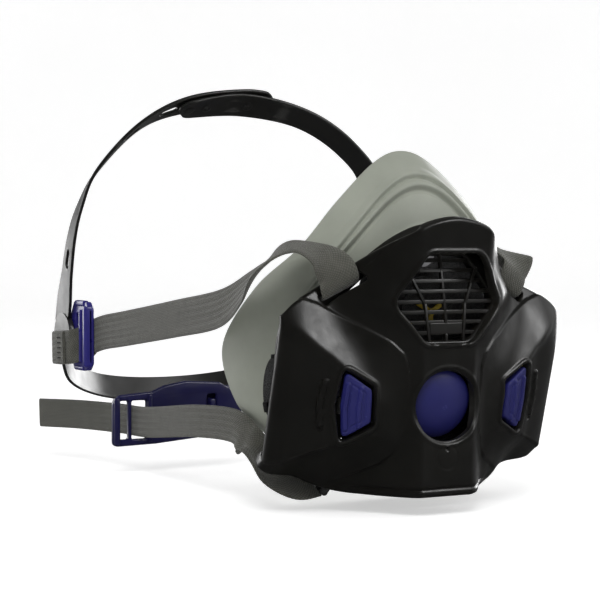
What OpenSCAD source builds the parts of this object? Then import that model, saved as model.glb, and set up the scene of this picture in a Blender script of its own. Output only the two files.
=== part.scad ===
// Half-mask respirator with clip-on filter ports, a seal-check button and a head harness.
// Millimetres. +Z is up and the mask looks along -Y. The origin is the centre of the face opening.
// Most shapes are written in the front frame, whose origin is the centre of the seal-check button.

/* [Shell] */
// Distance from the middle to the rear edge of a wing
half_w = 60.5; // [59:0.5:62]
// Wall thickness of the front shell
shell_t = 2.2; // [1.8:0.1:2.6]
// Height of the wings above the centre of the shell
wing_step = 0.8; // [0.4:0.1:1.2]
// Depth from the seal-check button to the middle of the face opening
face_depth = 60; // [56:1:64]
// Height of the middle of the face opening above the seal-check button
face_rise = 25; // [20:1:30]

/* [Grille] */
// Spacing of the louvres
louvre_pitch = 3.75; // [3.4:0.05:4.2]
// Height of one louvre
louvre_h = 1.5; // [1:0.1:2]

/* [Seal-check button] */
// Diameter of the blue dome
button_d = 24; // [20:0.5:24.6]
// Forward pitch of the button's face, in degrees
button_pitch = 14; // [8:1:18]

/* [Ports] */
// Radius of the bore that takes a filter's tube
port_r = 9.5; // [8:0.25:9.5]
// Angle between a port's axis and straight back, in degrees
port_angle = 45; // [40:1:50]

/* [Face seal] */
// Thickness of the moulded silicone
seal_t = 2; // [1.5:0.1:2.5]

/* [Harness] */
// Width of the head strap
strap_w = 15; // [13:0.5:16]
// Width of the neck strap
neck_strap_w = 13; // [11:0.5:14]
// Thickness of both straps
strap_t = 1.2; // [0.8:0.1:1.4]
// Width of the cradle's bands
band_w = 12; // [10:0.5:13]
// Thickness of the cradle's bands
band_t = 1.4; // [1.2:0.1:2.4]

/* [Hidden] */

shell_black = "#2b2a28";
part_grey = "#3c3c3a";
blue = "#2c2a78";
silicone = "#7b8072";
webbing = "#68675f";
steel = "#b9bcc0";

// Running gap between a moving piece and its housing
gap = 0.4;
// Steps of the shell's grid across and up
shell_cols = 40;
shell_rows = 22;
// Where the wing's rising crease meets the window, and the slope of that crease
crease_x = 39.8;
crease_z = 15.2;
crease_slope = 0.854;
// Flat face of the nose, in front of the button's centre
nose_face_y = -3.7;
// Height from which the nose leans back, and the slant of the grille set in it
lean_z = 23;
grille_slant = 8.3;
// Centre and radii of the exhaust valve and of the speech diaphragm, in the plane of the inner frame
valve_z = 34;
valve_r = 11;
stud_r = 1.3;
speech_z = 55.5;
speech_r = 5.6;
// The inner frame's plate
plate_y = 14;
plate_t = 2.5;
// Middle of a port on the mask's left, and how far the collar reaches out and in
port_at = [-50, 29.5, 6];
collar_out = 4;
collar_in = 6;
collar_t = 1.8;
// Pivots of the harness
head_slot = [-36.6, 11, 43.4];
neck_bar = [-34.1, 33.9, -29.5];
cradle_pivot = [-64.5, 208, 18];
pin_r = 2;
pin_gap = 0.05;

// ---- functions ----
function unit(v) = v / norm(v);
function mix(a, b, t) = a + (b - a) * t;
function smooth(a, b, x) = let (t = min(1, max(0, (x - a) / (b - a)))) t * t * (3 - 2 * t);
function ramp(t, w) = (t + sqrt(t * t + w * w)) / 2;
function soft_min(a, b, w) = (a + b - sqrt((a - b) * (a - b) + w * w)) / 2;

// A smooth curve through knots; u runs from 0 to the last knot's number
function spline(k, u) = let (
    n = len(k) - 1,
    i = min(n - 1, floor(u)),
    t = u - i,
    p1 = k[i],
    p2 = k[i + 1],
    m1 = i > 0 ? (p2 - k[i - 1]) / 2 : p2 - p1,
    m2 = i < n - 1 ? (k[i + 2] - p1) / 2 : p2 - p1)
    p1 * (2 * t * t * t - 3 * t * t + 1) + m1 * (t * t * t - 2 * t * t + t)
    + p2 * (3 * t * t - 2 * t * t * t) + m2 * (t * t * t - t * t);

// ---- outline and surface of the shell: y = shell_y(x, z) in the front frame ----
function top_z(x) = lookup(abs(x), [[0, 68.7], [10, 67], [16, 64.3], [24, 59], [32, 52], [40, 45.7],
    [50, 41], [57, 37], [half_w, 32.7]]);
function bottom_z(x) = lookup(abs(x), [[0, -33], [30, -33], [37.5, -31], [45, -25.5], [half_w, -20]]);
function nose_half(z) = lookup(z, [[13, 10], [24, 10], [38, 23.5], [48, 20.5], [56, 13], [62, 9],
    [69, 3]]);
// How far the nose leans back towards its top
function lean(z) = 0.0045 * pow(max(0, z - lean_z), 2);
function nose_y(x, z) = let (t = max(0, abs(x) - nose_half(z)))
    nose_face_y + 1.9 * (sqrt(t * t + 41) - 6.4) + lean(z) * (1 - smooth(3, 14, t));
function wing_y(x, z) = let (
    a = abs(x),
    out = max(0, a - 22),
    upper = crease_z + crease_slope * (a - crease_x),
    lower = lookup(a, [[0, -18], [27, -10], [38.8, -12.8], [half_w, -19.5]]))
    0.3 + 0.0147 * out * out - (0.18 + 0.003 * out) * z
    + 0.68 * smooth(14, 44, a) * ramp(z - upper, 3)
    + lookup(a, [[0, 0.15], [25, 0.3], [37.5, 0.7], [45, 1.2]]) * ramp(lower - z, 3);
function wing_line(z) = lookup(z, [[-34, 32], [-22, 26], [-18, 18], [0, 14.8], [13, 14], [19, 16],
    [24, 21.5], [29, 30], [34.5, 39], [38, 46], [40, 62]]);
function shell_y(x, z) = let (inside = smooth(1, -1, abs(x) - wing_line(z)))
    soft_min(nose_y(x, z), wing_y(x, z) + wing_step * inside, 4);
function shell_point(x, z, depth) = let (
    d = 0.5,
    fx = (shell_y(x + d, z) - shell_y(x - d, z)) / (2 * d),
    fz = (shell_y(x, z + d) - shell_y(x, z - d)) / (2 * d),
    n = unit([fx, -1, fz]))
    [x, shell_y(x, z), z] - n * depth;

// ---- curves round the body, each listed from the nose down the left side to the chin ----
perimeter = [[0, 8.5, 66.5], [-15, 9.2, 62], [-31, 14, 50], [-47, 16.5, 39.5], [-58, 17, 31], [-58.5, 22, 8],
    [-57.5, 28.5, -17], [-45, 29, -22.5], [-31, 22, -30], [-15, 14.5, -31], [0, 12.5, -31]];
seal_front = [[0, 11, 64.3], [-12, 12, 60.5], [-26, 16, 48], [-36, 27, 35], [-40, 35, 23], [-41, 39, 6],
    [-39, 39, -9], [-32, 36, -17], [-22, 29, -23], [-11, 23, -26], [0, 21, -27]];
face_edge = [[0, 29, 94.3], [-12, 28.5, 90], [-28.5, 28, 75], [-42, 32, 58], [-51.5, 50, 42.5], [-55, 71, 20],
    [-52.5, 65, -1], [-45, 55, -13], [-34, 49, -26], [-17, 46, -35], [0, 45, -38]];
half_turn = len(perimeter) - 1;
// A half curve and its mirror image, run on past both ends so that they meet smoothly
function flip(p) = [-p.x, p.y, p.z];
function whole(k) = concat([flip(k[1])], k, [flip(k[half_turn - 1])]);
function round_curve(k, u) = u <= half_turn ? spline(whole(k), u + 1)
    : flip(spline(whole(k), 2 * half_turn - u + 1));

// ---- solids from grids of points ----
function wrap(i, n, closed) = closed ? (i + n) % n : min(n - 1, max(0, i));
function grid_normal(g, i, j, closed) = let (
    n = len(g),
    a = g[wrap(i + 1, n, closed)][j] - g[wrap(i - 1, n, closed)][j],
    b = g[i][min(j + 1, len(g[0]) - 1)] - g[i][max(j - 1, 0)])
    unit(cross(a, b));
function thicken(g, t, closed) = [for (i = [0:len(g) - 1])
    [for (j = [0:len(g[0]) - 1]) g[i][j] - t * grid_normal(g, i, j, closed)]];
// Closed skin between two grids; the columns of g run round the piece when closed
module sheet(g, h, closed = false) {
    n = len(g);
    m = len(g[0]);
    cols = closed ? n : n - 1;
    points = concat([for (c = g, p = c) p], [for (c = h, p = c) p]);
    function at(i, j, side) = side * n * m + (i % n) * m + j;
    function two(a, b, c, d) = [[a, b, c], [a, c, d]];
    faces = concat(
        [for (i = [0:cols - 1], j = [0:m - 2], f = two(at(i, j, 0), at(i, j + 1, 0),
            at(i + 1, j + 1, 0), at(i + 1, j, 0))) f],
        [for (i = [0:cols - 1], j = [0:m - 2], f = two(at(i, j, 1), at(i + 1, j, 1),
            at(i + 1, j + 1, 1), at(i, j + 1, 1))) f],
        [for (i = [0:cols - 1], f = two(at(i, 0, 0), at(i + 1, 0, 0), at(i + 1, 0, 1), at(i, 0, 1))) f],
        [for (i = [0:cols - 1], f = two(at(i + 1, m - 1, 0), at(i, m - 1, 0), at(i, m - 1, 1),
            at(i + 1, m - 1, 1))) f],
        closed ? [] : [for (j = [0:m - 2], f = two(at(0, j + 1, 0), at(0, j, 0), at(0, j, 1),
            at(0, j + 1, 1))) f],
        closed ? [] : [for (j = [0:m - 2], f = two(at(n - 1, j, 0), at(n - 1, j + 1, 0),
            at(n - 1, j + 1, 1), at(n - 1, j, 1))) f]);
    polyhedron(points, faces);
}

// Flat band swept along knots of [place, direction of its width]
module ribbon(knots, width, thick, steps = 5) {
    last = (len(knots) - 1) * steps;
    places = [for (k = knots) k[0]];
    widths = [for (k = knots) k[1]];
    stations = [for (s = [0:last]) let (
        u = s / steps,
        p = spline(places, u),
        along = unit(spline(places, min(u + 0.02, len(knots) - 1)) - spline(places, max(u - 0.02, 0))),
        raw = spline(widths, u),
        w = unit(raw - along * (raw * along)),
        n = cross(along, w))
        [p, w, n]];
    function edge(s, side, face) = s[0] + s[1] * side * width / 2 + s[2] * face * thick / 2;
    sheet([for (s = stations) [edge(s, -1, 1), edge(s, 1, 1)]],
        [for (s = stations) [edge(s, -1, -1), edge(s, 1, -1)]]);
}

// Round coil along +Z
module coil(radius, wire, turns, height) {
    per_turn = 12;
    last = turns * per_turn;
    rim = 6;
    points = [for (s = [0:last], k = [0:rim - 1]) let (
        a = 360 * s / per_turn,
        b = 360 * k / rim,
        r = radius + wire / 2 * cos(b))
        [r * cos(a), r * sin(a), (height - wire) * s / last + wire / 2 + wire / 2 * sin(b)]];
    faces = concat([[for (k = [0:rim - 1]) k]],
        [for (s = [0:last - 1], k = [0:rim - 1]) let (
            a = s * rim + k,
            b = s * rim + (k + 1) % rim) [b, a, a + rim, b + rim]],
        [[for (k = [rim - 1:-1:0]) last * rim + k]]);
    polyhedron(points, faces);
}

// ---- placing ----
module front_frame() { translate([0, -face_depth, -face_rise]) children(); }
module other_side() { mirror([1, 0, 0]) children(); }
// Local Z becomes the direction the mask looks in, pitched down with the button's face
module on_button() { rotate([90 + button_pitch, 0, 0]) children(); }
module on_port() { translate(port_at) rotate([-90, 0, port_angle]) children(); }
// Outlines drawn in X and Z, pushed from y0 to y1
module prism(y0, y1) { translate([0, y1, 0]) rotate([90, 0, 0]) linear_extrude(y1 - y0) children(); }

// ---- outlines ----
grille_corners = [[-11, 55.5], [11, 55.5], [22.6, 37.6], [9.8, 23], [-9.8, 23], [-22.6, 37.6]];
window_corners = [[-39.8, 15.2], [-27.9, 8.1], [-27.4, -6.5], [-38.8, -12.8], [-41.4, 1.1]];
function toward(points, c, d) = [for (p = points) p + d * unit(c - p)];
module grille_outline(inset = 0) { polygon(toward(grille_corners, [0, 39], inset)); }
module window_outline(inset = 0) { polygon(toward(window_corners, [-34.5, 1], inset)); }

// ---- front shell and what sits in it ----
module shell_grid(x0, x1, cols, depth0, depth1) {
    function grid(depth) = [for (i = [0:cols]) let (x = mix(x0, x1, i / cols))
        [for (j = [0:shell_rows]) shell_point(x, mix(bottom_z(x), top_z(x), j / shell_rows), depth)]];
    sheet(grid(depth0), grid(depth1));
}
module strap_slots() {
    for (side = [0, 1]) mirror([side, 0, 0]) {
        translate(head_slot) rotate([0, -35, -24]) cube([19, 14, 7.8], center = true);
    }
}
module front_shell() {
    color(shell_black) front_frame() difference() {
        shell_grid(-half_w, half_w, shell_cols, 0, shell_t);
        prism(-20, 20) grille_outline();
        for (side = [0, 1]) mirror([side, 0, 0]) prism(-20, 25) window_outline();
        on_button() cylinder(h = 60, d = button_d + 2 * gap, center = true, $fn = 72);
        translate([0, 2.5, -17]) rotate([90, 0, 0]) cylinder(h = 20, r = 0.8, center = true, $fn = 24);
        strap_slots();
    }
}
module grille_ribs() {
    for (side = [-1, 1]) {
        polygon([[side * 6.6, 23.5], [side * 7.8, 23.5], [side * 9.1, 37], [side * 15.5, 50],
            [side * 14.2, 50], [side * 7.9, 37]]);
    }
    translate([-0.7, 23]) square([1.4, 32]);
}
module exhaust_grille() {
    rim_w = 1.3;
    color(shell_black) front_frame() translate([0, nose_face_y, lean_z]) rotate([-grille_slant, 0, 0])
        translate([0, -nose_face_y, -lean_z]) {
        prism(nose_face_y - 0.3, nose_face_y + 3) difference() {
            grille_outline(0.1);
            grille_outline(rim_w);
        }
        prism(nose_face_y + 0.2, nose_face_y + 2.2) intersection() {
            grille_outline(rim_w / 2);
            union() {
                for (k = [0:7]) translate([-24, 26 + k * louvre_pitch]) square([48, louvre_h]);
                grille_ribs();
                translate([-6.9, 26.2]) square([13.8, 4.2]);
            }
        }
    }
}
module rear_housing() {
    turns = 4 * half_turn;
    g = [for (i = [0:turns - 1]) let (u = 2 * half_turn * i / turns)
        [for (s = [0:2]) mix(round_curve(perimeter, u), round_curve(seal_front, u), s / 2)]];
    color(shell_black) front_frame() difference() {
        sheet(g, thicken(g, -1.8, true), true);
        for (side = [0, 1]) mirror([side, 0, 0])
            on_port() cylinder(h = 40, r = port_r + collar_t, center = true, $fn = 72);
    }
}

// Bars under the chin that the neck straps loop over, each on a post and with a head at its free end
module neck_strap_bars() {
    bar_l = 13.2;
    color(part_grey) front_frame() for (side = [0, 1]) mirror([side, 0, 0]) translate(neck_bar) {
        rotate([-60, 0, 0]) {
            cylinder(h = bar_l, r = 1.2, center = true, $fn = 36);
            translate([0, 0, bar_l / 2 - 1]) cylinder(h = 1, r = 1.7, $fn = 36);
        }
        translate([0, -6.1, -3.5]) rotate([47, 0, 0]) cylinder(h = 7.5, r = 1.6, $fn = 36);
    }
}

// ---- inner frame with the exhaust valve and the speech diaphragm ----
screw_places = [[-20, -16], [20, -16], [-22, 20], [22, 20]];
module frame_outline() {
    polygon([[-12, 58.5], [-7, 61.8], [7, 61.8], [12, 58.5], [24, 48], [29, 34], [36, 12], [36, -8],
        [24, -22], [-24, -22], [-36, -8], [-36, 12], [-29, 34], [-24, 48]]);
}
duct_r = 9;
module inner_frame() {
    color(part_grey) front_frame() difference() {
        union() {
            prism(plate_y, plate_y + plate_t) frame_outline();
            on_button() translate([0, 0, -20]) cylinder(h = 8, r = duct_r + 2, $fn = 72);
        }
        for (hole = [[valve_z, valve_r], [speech_z, speech_r]]) translate([0, plate_y, hole[0]])
            rotate([90, 0, 0]) cylinder(h = 20, r = hole[1], center = true, $fn = 72);
        on_button() cylinder(h = 60, r = duct_r, center = true, $fn = 72);
        for (p = screw_places) translate([p.x, plate_y, p.y]) rotate([90, 0, 0])
            cylinder(h = 20, r = 1.25, center = true, $fn = 36);
    }
}
module frame_screws() {
    color(steel) front_frame() for (p = screw_places) translate([p.x, plate_y + plate_t, p.y]) rotate([90, 0, 0]) {
        cylinder(h = 6, r = 1.25, $fn = 36);
        translate([0, 0, -2]) cylinder(h = 2, r = 2.4, $fn = 36);
    }
}
module exhaust_valve_seat() {
    color(part_grey) front_frame() translate([0, plate_y, valve_z]) rotate([90, 0, 0]) difference() {
        union() {
            translate([0, 0, -plate_t]) cylinder(h = plate_t + 3, r = valve_r, $fn = 72);
            translate([0, 0, 1]) cylinder(h = 2, r = valve_r + 2, $fn = 72);
        }
        for (a = [45:90:315]) rotate([0, 0, a]) translate([0, 0, -5])
            linear_extrude(10) intersection() {
                difference() {
                    circle(r = valve_r - 1.5, $fn = 72);
                    circle(r = 2.4, $fn = 36);
                }
                translate([0.8, 0.8]) square(20);
            }
    }
}
module exhaust_seat_gasket() {
    color("#8a2f24") front_frame() translate([0, plate_y - 0.5, valve_z]) rotate([90, 0, 0])
        rotate_extrude($fn = 72) translate([valve_r + 1, 0]) circle(r = 0.45, $fn = 24);
}
// Thin disc that lifts along the stud of its retainer
module exhaust_flap() {
    color(part_grey) front_frame() translate([0, plate_y - 3.1, valve_z]) rotate([90, 0, 0]) difference() {
        cylinder(h = 0.8, r = valve_r, $fn = 72);
        translate([0, 0, -1]) cylinder(h = 3, r = stud_r + pin_gap, $fn = 48);
    }
}
module flap_retainer() {
    color("#c8b02a") front_frame() translate([0, plate_y, valve_z]) rotate([90, 0, 0]) {
        translate([0, 0, -1]) cylinder(h = 8.4, r = stud_r, $fn = 48);
        for (a = [30:120:270]) rotate([0, 0, a]) translate([0, -0.8, 5.6]) cube([6.5, 1.6, 1]);
    }
}
module speech_diaphragm() {
    color("#c9ccd0") front_frame() translate([0, plate_y - 0.1, speech_z]) rotate([90, 0, 0])
        cylinder(h = 0.4, r = speech_r + 1, $fn = 72);
}
module diaphragm_ring() {
    color(part_grey) front_frame() translate([0, plate_y - 0.6, speech_z]) rotate([90, 0, 0]) difference() {
        cylinder(h = 1.6, r = speech_r + 1.5, $fn = 72);
        translate([0, 0, -1]) cylinder(h = 4, r = speech_r - 0.5, $fn = 72);
    }
}

// ---- seal-check button, its spring and its air shutter ----
dome_h = 3.4;
stem_r = 2.5;
stem_l = 9;
module dome(radius, rise) {
    ball = (radius * radius + rise * rise) / (2 * rise);
    rotate_extrude($fn = 96) intersection() {
        translate([0, rise - ball]) circle(r = ball, $fn = 180);
        square([radius, rise]);
    }
}
module seal_check_button() {
    color(blue) front_frame() on_button() {
        translate([0, 0, -1.2]) dome(button_d / 2, dome_h);
        translate([0, 0, -3.7]) cylinder(h = 2.5, r = button_d / 2, $fn = 96);
        translate([0, 0, -3.7 - stem_l]) cylinder(h = stem_l, r = stem_r, $fn = 48);
    }
}
module seal_check_spring() {
    color(steel) front_frame() on_button() translate([0, 0, -11.6])
        coil(radius = 4.2, wire = 0.7, turns = 4, height = 7.7);
}
module seal_check_shutter() {
    color("#d8d8d2") front_frame() on_button() translate([0, 0, -13.5]) difference() {
        cylinder(h = 1.6, r = duct_r - gap, $fn = 72);
        translate([0, 0, 0.8]) cylinder(h = 3, r = stem_r, $fn = 48);
    }
}

// ---- filter ports ----
gasket_wire = 0.4;
module gasket_ring(wire) {
    translate([0, 0, collar_out - gasket_wire]) rotate_extrude($fn = 96)
        translate([port_r + collar_t / 2, 0]) circle(r = wire, $fn = 24);
}
module port_collar() {
    color(part_grey) front_frame() on_port() difference() {
        union() {
            translate([0, 0, -collar_in]) cylinder(h = collar_in + collar_out, r = port_r + collar_t, $fn = 96);
            for (a = [30:120:270]) rotate([0, 0, a]) translate([port_r + collar_t - 0.5, -2, collar_out - 1.5])
                cube([1.7, 4, 1.5]);
        }
        translate([0, 0, -collar_in + 1.5]) cylinder(h = 40, r = port_r, $fn = 96);
        gasket_ring(gasket_wire + 0.05);
        for (a = [45:90:315]) rotate([0, 0, a]) translate([0, 0, -collar_in - 1]) linear_extrude(5)
            intersection() {
                difference() {
                    circle(r = port_r - 1.2, $fn = 72);
                    circle(r = 1.8, $fn = 36);
                }
                translate([0.6, 0.6]) square(20);
            }
    }
}
module port_gasket() { color("#45464a") front_frame() on_port() gasket_ring(gasket_wire); }
module inhalation_flap() {
    color("#d9c76a") front_frame() on_port() translate([0, 0, -collar_in - 0.7])
        cylinder(h = 0.6, r = port_r - 0.3, $fn = 72);
}

// ---- release buttons, with their hooks and springs ----
module release_button() {
    color(blue) front_frame() intersection() {
        shell_grid(-46, -22, 12, 0.5, 5);
        prism(-20, 25) window_outline(0.8);
    }
}
module latch_hook() {
    color(part_grey) front_frame() {
        translate([-39, 6.5, -2]) cube([4, 5.5, 6]);
        translate([-38.5, 10, -2]) rotate([0, 0, 25]) cube([2, 6.5, 6]);
    }
}
module release_spring() {
    color(steel) front_frame() translate([-31, plate_y - 0.05, 1]) rotate([90, 0, 0])
        coil(radius = 2.2, wire = 0.6, turns = 4, height = 5);
}

// ---- face seal: a moulded cup with a turned-in lip ----
opening = [0, 58, 20];
lip_reach = 0.24;
seal_cols = 56;
function seal_outer(u, s) = let (
    a = round_curve(seal_front, u),
    e = round_curve(face_edge, u),
    p = mix(a, e, s),
    out = unit([p.x, 0, p.z - 22] + [0, 0.001, 0]))
    p - [0, 1, 0] * 3 * sin(180 * s) + out * 2.5 * sin(180 * s);
function seal_lip(u, s) = let (e = round_curve(face_edge, u))
    mix(e, opening, lip_reach * s) + [0, 3 * sin(90 * s) * (1 - s), 0];
module face_seal() {
    g = [for (i = [0:seal_cols - 1]) let (u = 2 * half_turn * i / seal_cols)
        concat([for (s = [0.04, 0.2, 0.4, 0.6, 0.8, 1]) seal_outer(u, s)],
            [for (s = [0.35, 0.7, 1]) seal_lip(u, s)])];
    color(silicone) front_frame() sheet(g, thicken(g, -seal_t, true), true);
}

// ---- harness ----
head_strap_path = [[[-36.6, 10.9, 43.6], [-0.76, 0.36, -0.54]], [[-38.6, 9.6, 48.8], [-0.78, 0.3, -0.53]],
    [[-43, 13.2, 55], [-0.61, -0.45, -0.42]], [[-52, 19.5, 58], [-0.37, -0.88, -0.25]],
    [[-60.5, 25, 51], [-0.73, -0.61, -0.3]],
    [[-61.5, 38, 42.5], [-0.45, -0.4, -0.8]], [[-62, 58, 34.5], [-0.15, -0.3, -0.94]],
    [[-61.5, 100, 29], [0, -0.1, -0.99]], [[-61.5, 150, 23], [0, -0.1, -0.99]],
    [[-61.5, 204, 18], [0, 0, -1]]];
far_head_strap_path = [[[36.6, 10.9, 43.6], [0.76, 0.36, -0.54]], [[38.7, 9.6, 49.2], [0.8, 0.25, -0.53]],
    [[42, 15.5, 55], [0.86, -0.46, -0.2]], [[48.4, 28, 51.4], [0.5, -0.35, -0.79]],
    [[53, 43, 45], [0.35, -0.25, -0.88]], [[57, 62, 37], [0.2, -0.2, -0.95]],
    [[61.5, 100, 29], [0, -0.1, -0.99]], [[61.5, 150, 23], [0, -0.1, -0.99]], [[61.5, 204, 18], [0, 0, -1]]];
neck_strap_path = [[[-34, 36, -31.5], [0, -0.86, -0.5]], [[-43.8, 35, -31.2], [0.45, -0.65, -0.61]],
    [[-52.6, 38, -26.6], [-0.18, -0.82, -0.53]], [[-54.2, 44, -19], [-0.75, -0.6, -0.25]],
    [[-53.4, 52, -14.6], [-0.3, -0.4, -0.85]], [[-54, 63, -10.5], [-0.1, -0.2, -0.97]],
    [[-55, 95, -11.5], [0, 0, -1]], [[-54, 145, -16.5], [0, 0, -1]], [[-54, 175, -17.5], [0, 0, -1]],
    [[-61, 205, -18], [0, 0, -1]], [[-70, 232, -19], [0, 0, -1]]];
far_neck_path = [[[34, 36, -31.8], [0, -0.86, -0.5]], [[41, 39, -28], [-0.2, -0.75, -0.62]],
    [[49, 46, -23], [0.15, -0.75, -0.62]], [[55, 60, -15], [0.05, -0.2, -0.98]],
    [[56, 95, -11.5], [0, 0, -1]], [[50, 135, -15.5], [0, 0, -1]],
    [[34, 160, -16.5], [0, 0, -1]], [[14, 165, -16.5], [0, 0, -1]]];
// The right band runs under the left one over the crown, a little lower from there on
crown_left = [[[-67.3, 211, 20], [0, 1, 0]], [[-67.6, 206, 35], [0, 1, 0.1]],
    [[-68.3, 196, 60], [0.12, 0.98, 0.12]], [[-66.5, 188.5, 76], [0.25, 0.95, 0.1]],
    [[-61, 182, 91], [0.4, 0.91, 0.03]], [[-46, 172, 109.3], [0.38, 0.9, -0.12]],
    [[-26, 167, 118.8], [0.25, 0.83, -0.5]], [[0, 165, 121.5], [0, 0.65, -0.76]],
    [[15, 164.5, 120.3], [-0.15, 0.65, -0.75]]];
crown_right = [[[67.3, 211, 20], [0, 1, 0]], [[70, 203, 36], [-0.05, 1, 0.2]],
    [[71, 187, 58], [-0.3, 0.95, 0.2]], [[67, 167, 84], [-0.47, 0.88, 0]],
    [[51, 161, 101], [-0.47, 0.85, -0.2]], [[29, 162, 114], [-0.3, 0.8, -0.5]],
    [[0, 164.1, 119.5], [0, 0.65, -0.76]], [[-26, 166, 116.7], [0.25, 0.83, -0.5]],
    [[-29.5, 166.3, 115.4], [0.26, 0.84, -0.47]]];
nape = [[-66.5, 213, 12], [-58, 226, 0], [-38, 242, -8], [-14, 249, -11.5], [14, 249, -11.5],
    [38, 242, -8], [58, 226, 0], [66.5, 213, 12]];
// Middle of the head, which the nape band and the crown's pegs face
head_middle = [0, 100, 70];
// Knots of a band that lies on the head
function on_head(path) = [for (i = [0:len(path) - 1]) let (
    away = unit(path[i] - head_middle),
    along = path[min(i + 1, len(path) - 1)] - path[max(i - 1, 0)])
    [path[i], unit(cross(along, away))]];

module head_strap_left() { color(webbing) front_frame() ribbon(head_strap_path, strap_w, strap_t); }
module head_strap_right() { color(webbing) front_frame() ribbon(far_head_strap_path, strap_w, strap_t); }
module neck_strap_left() { color(webbing) front_frame() ribbon(neck_strap_path, neck_strap_w, strap_t); }
module neck_strap_right() { color(webbing) front_frame() ribbon(far_neck_path, neck_strap_w, strap_t); }

// Ladder buckle in the plane of Y and Z, with an eye that hooks on the cradle's pin
module head_buckle() {
    t = 2.6;
    eye_r = 4.5;
    color(blue) front_frame() translate(cradle_pivot) rotate([90, 0, 90]) translate([0, 0, -t / 2])
    difference() {
        union() {
            linear_extrude(t) polygon([[-26, -12], [-26, 12], [-23, 15], [-8, 15], [-5, 10], [-3, 4.5],
                [-3, -4.5], [-5, -10], [-8, -15], [-23, -15]]);
            cylinder(h = t, r = eye_r, $fn = 48);
        }
        for (x = [-23.5, -15.5]) translate([x, -9.5, -1]) cube([5, 19, t + 2]);
        translate([0, 0, -1]) cylinder(h = t + 2, r = pin_r + pin_gap, $fn = 48);
    }
}
module cradle_hub() {
    color(part_grey) front_frame() translate(cradle_pivot) rotate([0, 90, 0]) {
        translate([0, 0, -4]) cylinder(h = 2.4, r = 9.5, $fn = 72);
        translate([0, 0, -2]) cylinder(h = 4.2, r = pin_r, $fn = 48);
    }
}
peg_places = [[-16, 165.6, 120.6], [3, 164.9, 121.3]];
module crown_band_left() {
    color(part_grey) front_frame() ribbon(crown_left, band_w, band_t);
}
module crown_band_right() {
    color(part_grey) front_frame() ribbon(crown_right, band_w, band_t);
}
module cradle_pegs() {
    color(part_grey) front_frame() for (p = peg_places) let (away = unit(p - head_middle))
        translate(p - away * 1.75) rotate([-acos(away.z), 0, 0]) {
            translate([0, 0, -0.4]) cylinder(h = 2.9, r = 1.8, $fn = 36);
            translate([0, 0, 2.5]) cylinder(h = 0.6, r = 2.6, $fn = 36);
        }
}
module nape_band() { color(part_grey) front_frame() ribbon(on_head(nape), band_w, band_t); }

// ---- neck clasp ----
clasp_y = 160;
module neck_hook_plate() {
    color(blue) front_frame() prism(clasp_y - 1.5, clasp_y + 1.5) difference() {
        polygon([[-64, -28], [-64, -9], [-61, -6], [-46, -5], [-30, -1], [-14, -2.5], [-4, -9],
            [-4, -20], [-14, -25], [-44, -27.5]]);
        translate([-61, -25]) square([4, 16.5]);
        translate([-55.5, -25]) square([7, 16.5]);
        translate([-20, -19]) square([4.5, 12]);
    }
}
module neck_loop() {
    color(blue) front_frame() {
        prism(clasp_y + 3, clasp_y + 5.5) difference() {
            translate([-22, -22]) square([28, 18]);
            translate([-1, -20]) square([4, 14]);
        }
        prism(clasp_y - 3, clasp_y + 4) translate([-19.2, -17]) square([2.6, 8]);
    }
}

front_shell();
exhaust_grille();
rear_housing();
inner_frame();
face_seal();
frame_screws();
neck_strap_bars();
exhaust_valve_seat();
exhaust_flap();
flap_retainer();
exhaust_seat_gasket();
speech_diaphragm();
diaphragm_ring();
seal_check_button();
seal_check_spring();
seal_check_shutter();
port_collar();  // port_collar_left
other_side() port_collar();  // port_collar_right
port_gasket();  // port_gasket_left
other_side() port_gasket();  // port_gasket_right
inhalation_flap();  // inhalation_flap_left
other_side() inhalation_flap();  // inhalation_flap_right
release_button();  // release_button_left
other_side() release_button();  // release_button_right
latch_hook();  // latch_hook_left
other_side() latch_hook();  // latch_hook_right
release_spring();  // release_spring_left
other_side() release_spring();  // release_spring_right
head_strap_left();
head_strap_right();
head_buckle();  // head_buckle_left
other_side() head_buckle();  // head_buckle_right
crown_band_left();
crown_band_right();
nape_band();
cradle_hub();  // cradle_hub_left
other_side() cradle_hub();  // cradle_hub_right
cradle_pegs();
neck_strap_left();
neck_strap_right();
neck_hook_plate();
neck_loop();
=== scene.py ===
"""Looks of a half mask respirator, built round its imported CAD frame.

Meshes are worked out in millimetres in the front frame, whose origin is the middle of the
seal-check button, with the mask looking along -Y and +Z up. place() turns them into the row frame.
"""
import math

import bmesh
import bpy
import numpy as np
from mathutils import Matrix, Vector


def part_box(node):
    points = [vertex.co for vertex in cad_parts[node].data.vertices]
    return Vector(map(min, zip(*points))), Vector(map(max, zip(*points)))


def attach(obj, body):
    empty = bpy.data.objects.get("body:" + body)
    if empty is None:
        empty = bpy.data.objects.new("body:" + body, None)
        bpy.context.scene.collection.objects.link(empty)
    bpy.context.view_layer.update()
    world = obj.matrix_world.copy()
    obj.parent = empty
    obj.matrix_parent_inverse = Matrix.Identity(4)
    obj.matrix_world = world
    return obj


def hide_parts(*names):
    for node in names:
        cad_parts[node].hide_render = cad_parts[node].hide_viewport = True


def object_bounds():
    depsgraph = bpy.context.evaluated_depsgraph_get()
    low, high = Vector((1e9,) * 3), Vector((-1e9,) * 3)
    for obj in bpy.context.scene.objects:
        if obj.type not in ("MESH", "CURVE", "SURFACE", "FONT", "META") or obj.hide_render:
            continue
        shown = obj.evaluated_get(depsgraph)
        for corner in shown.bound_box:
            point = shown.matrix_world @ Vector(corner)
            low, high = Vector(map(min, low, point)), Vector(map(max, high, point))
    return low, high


MM = 0.001
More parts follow.
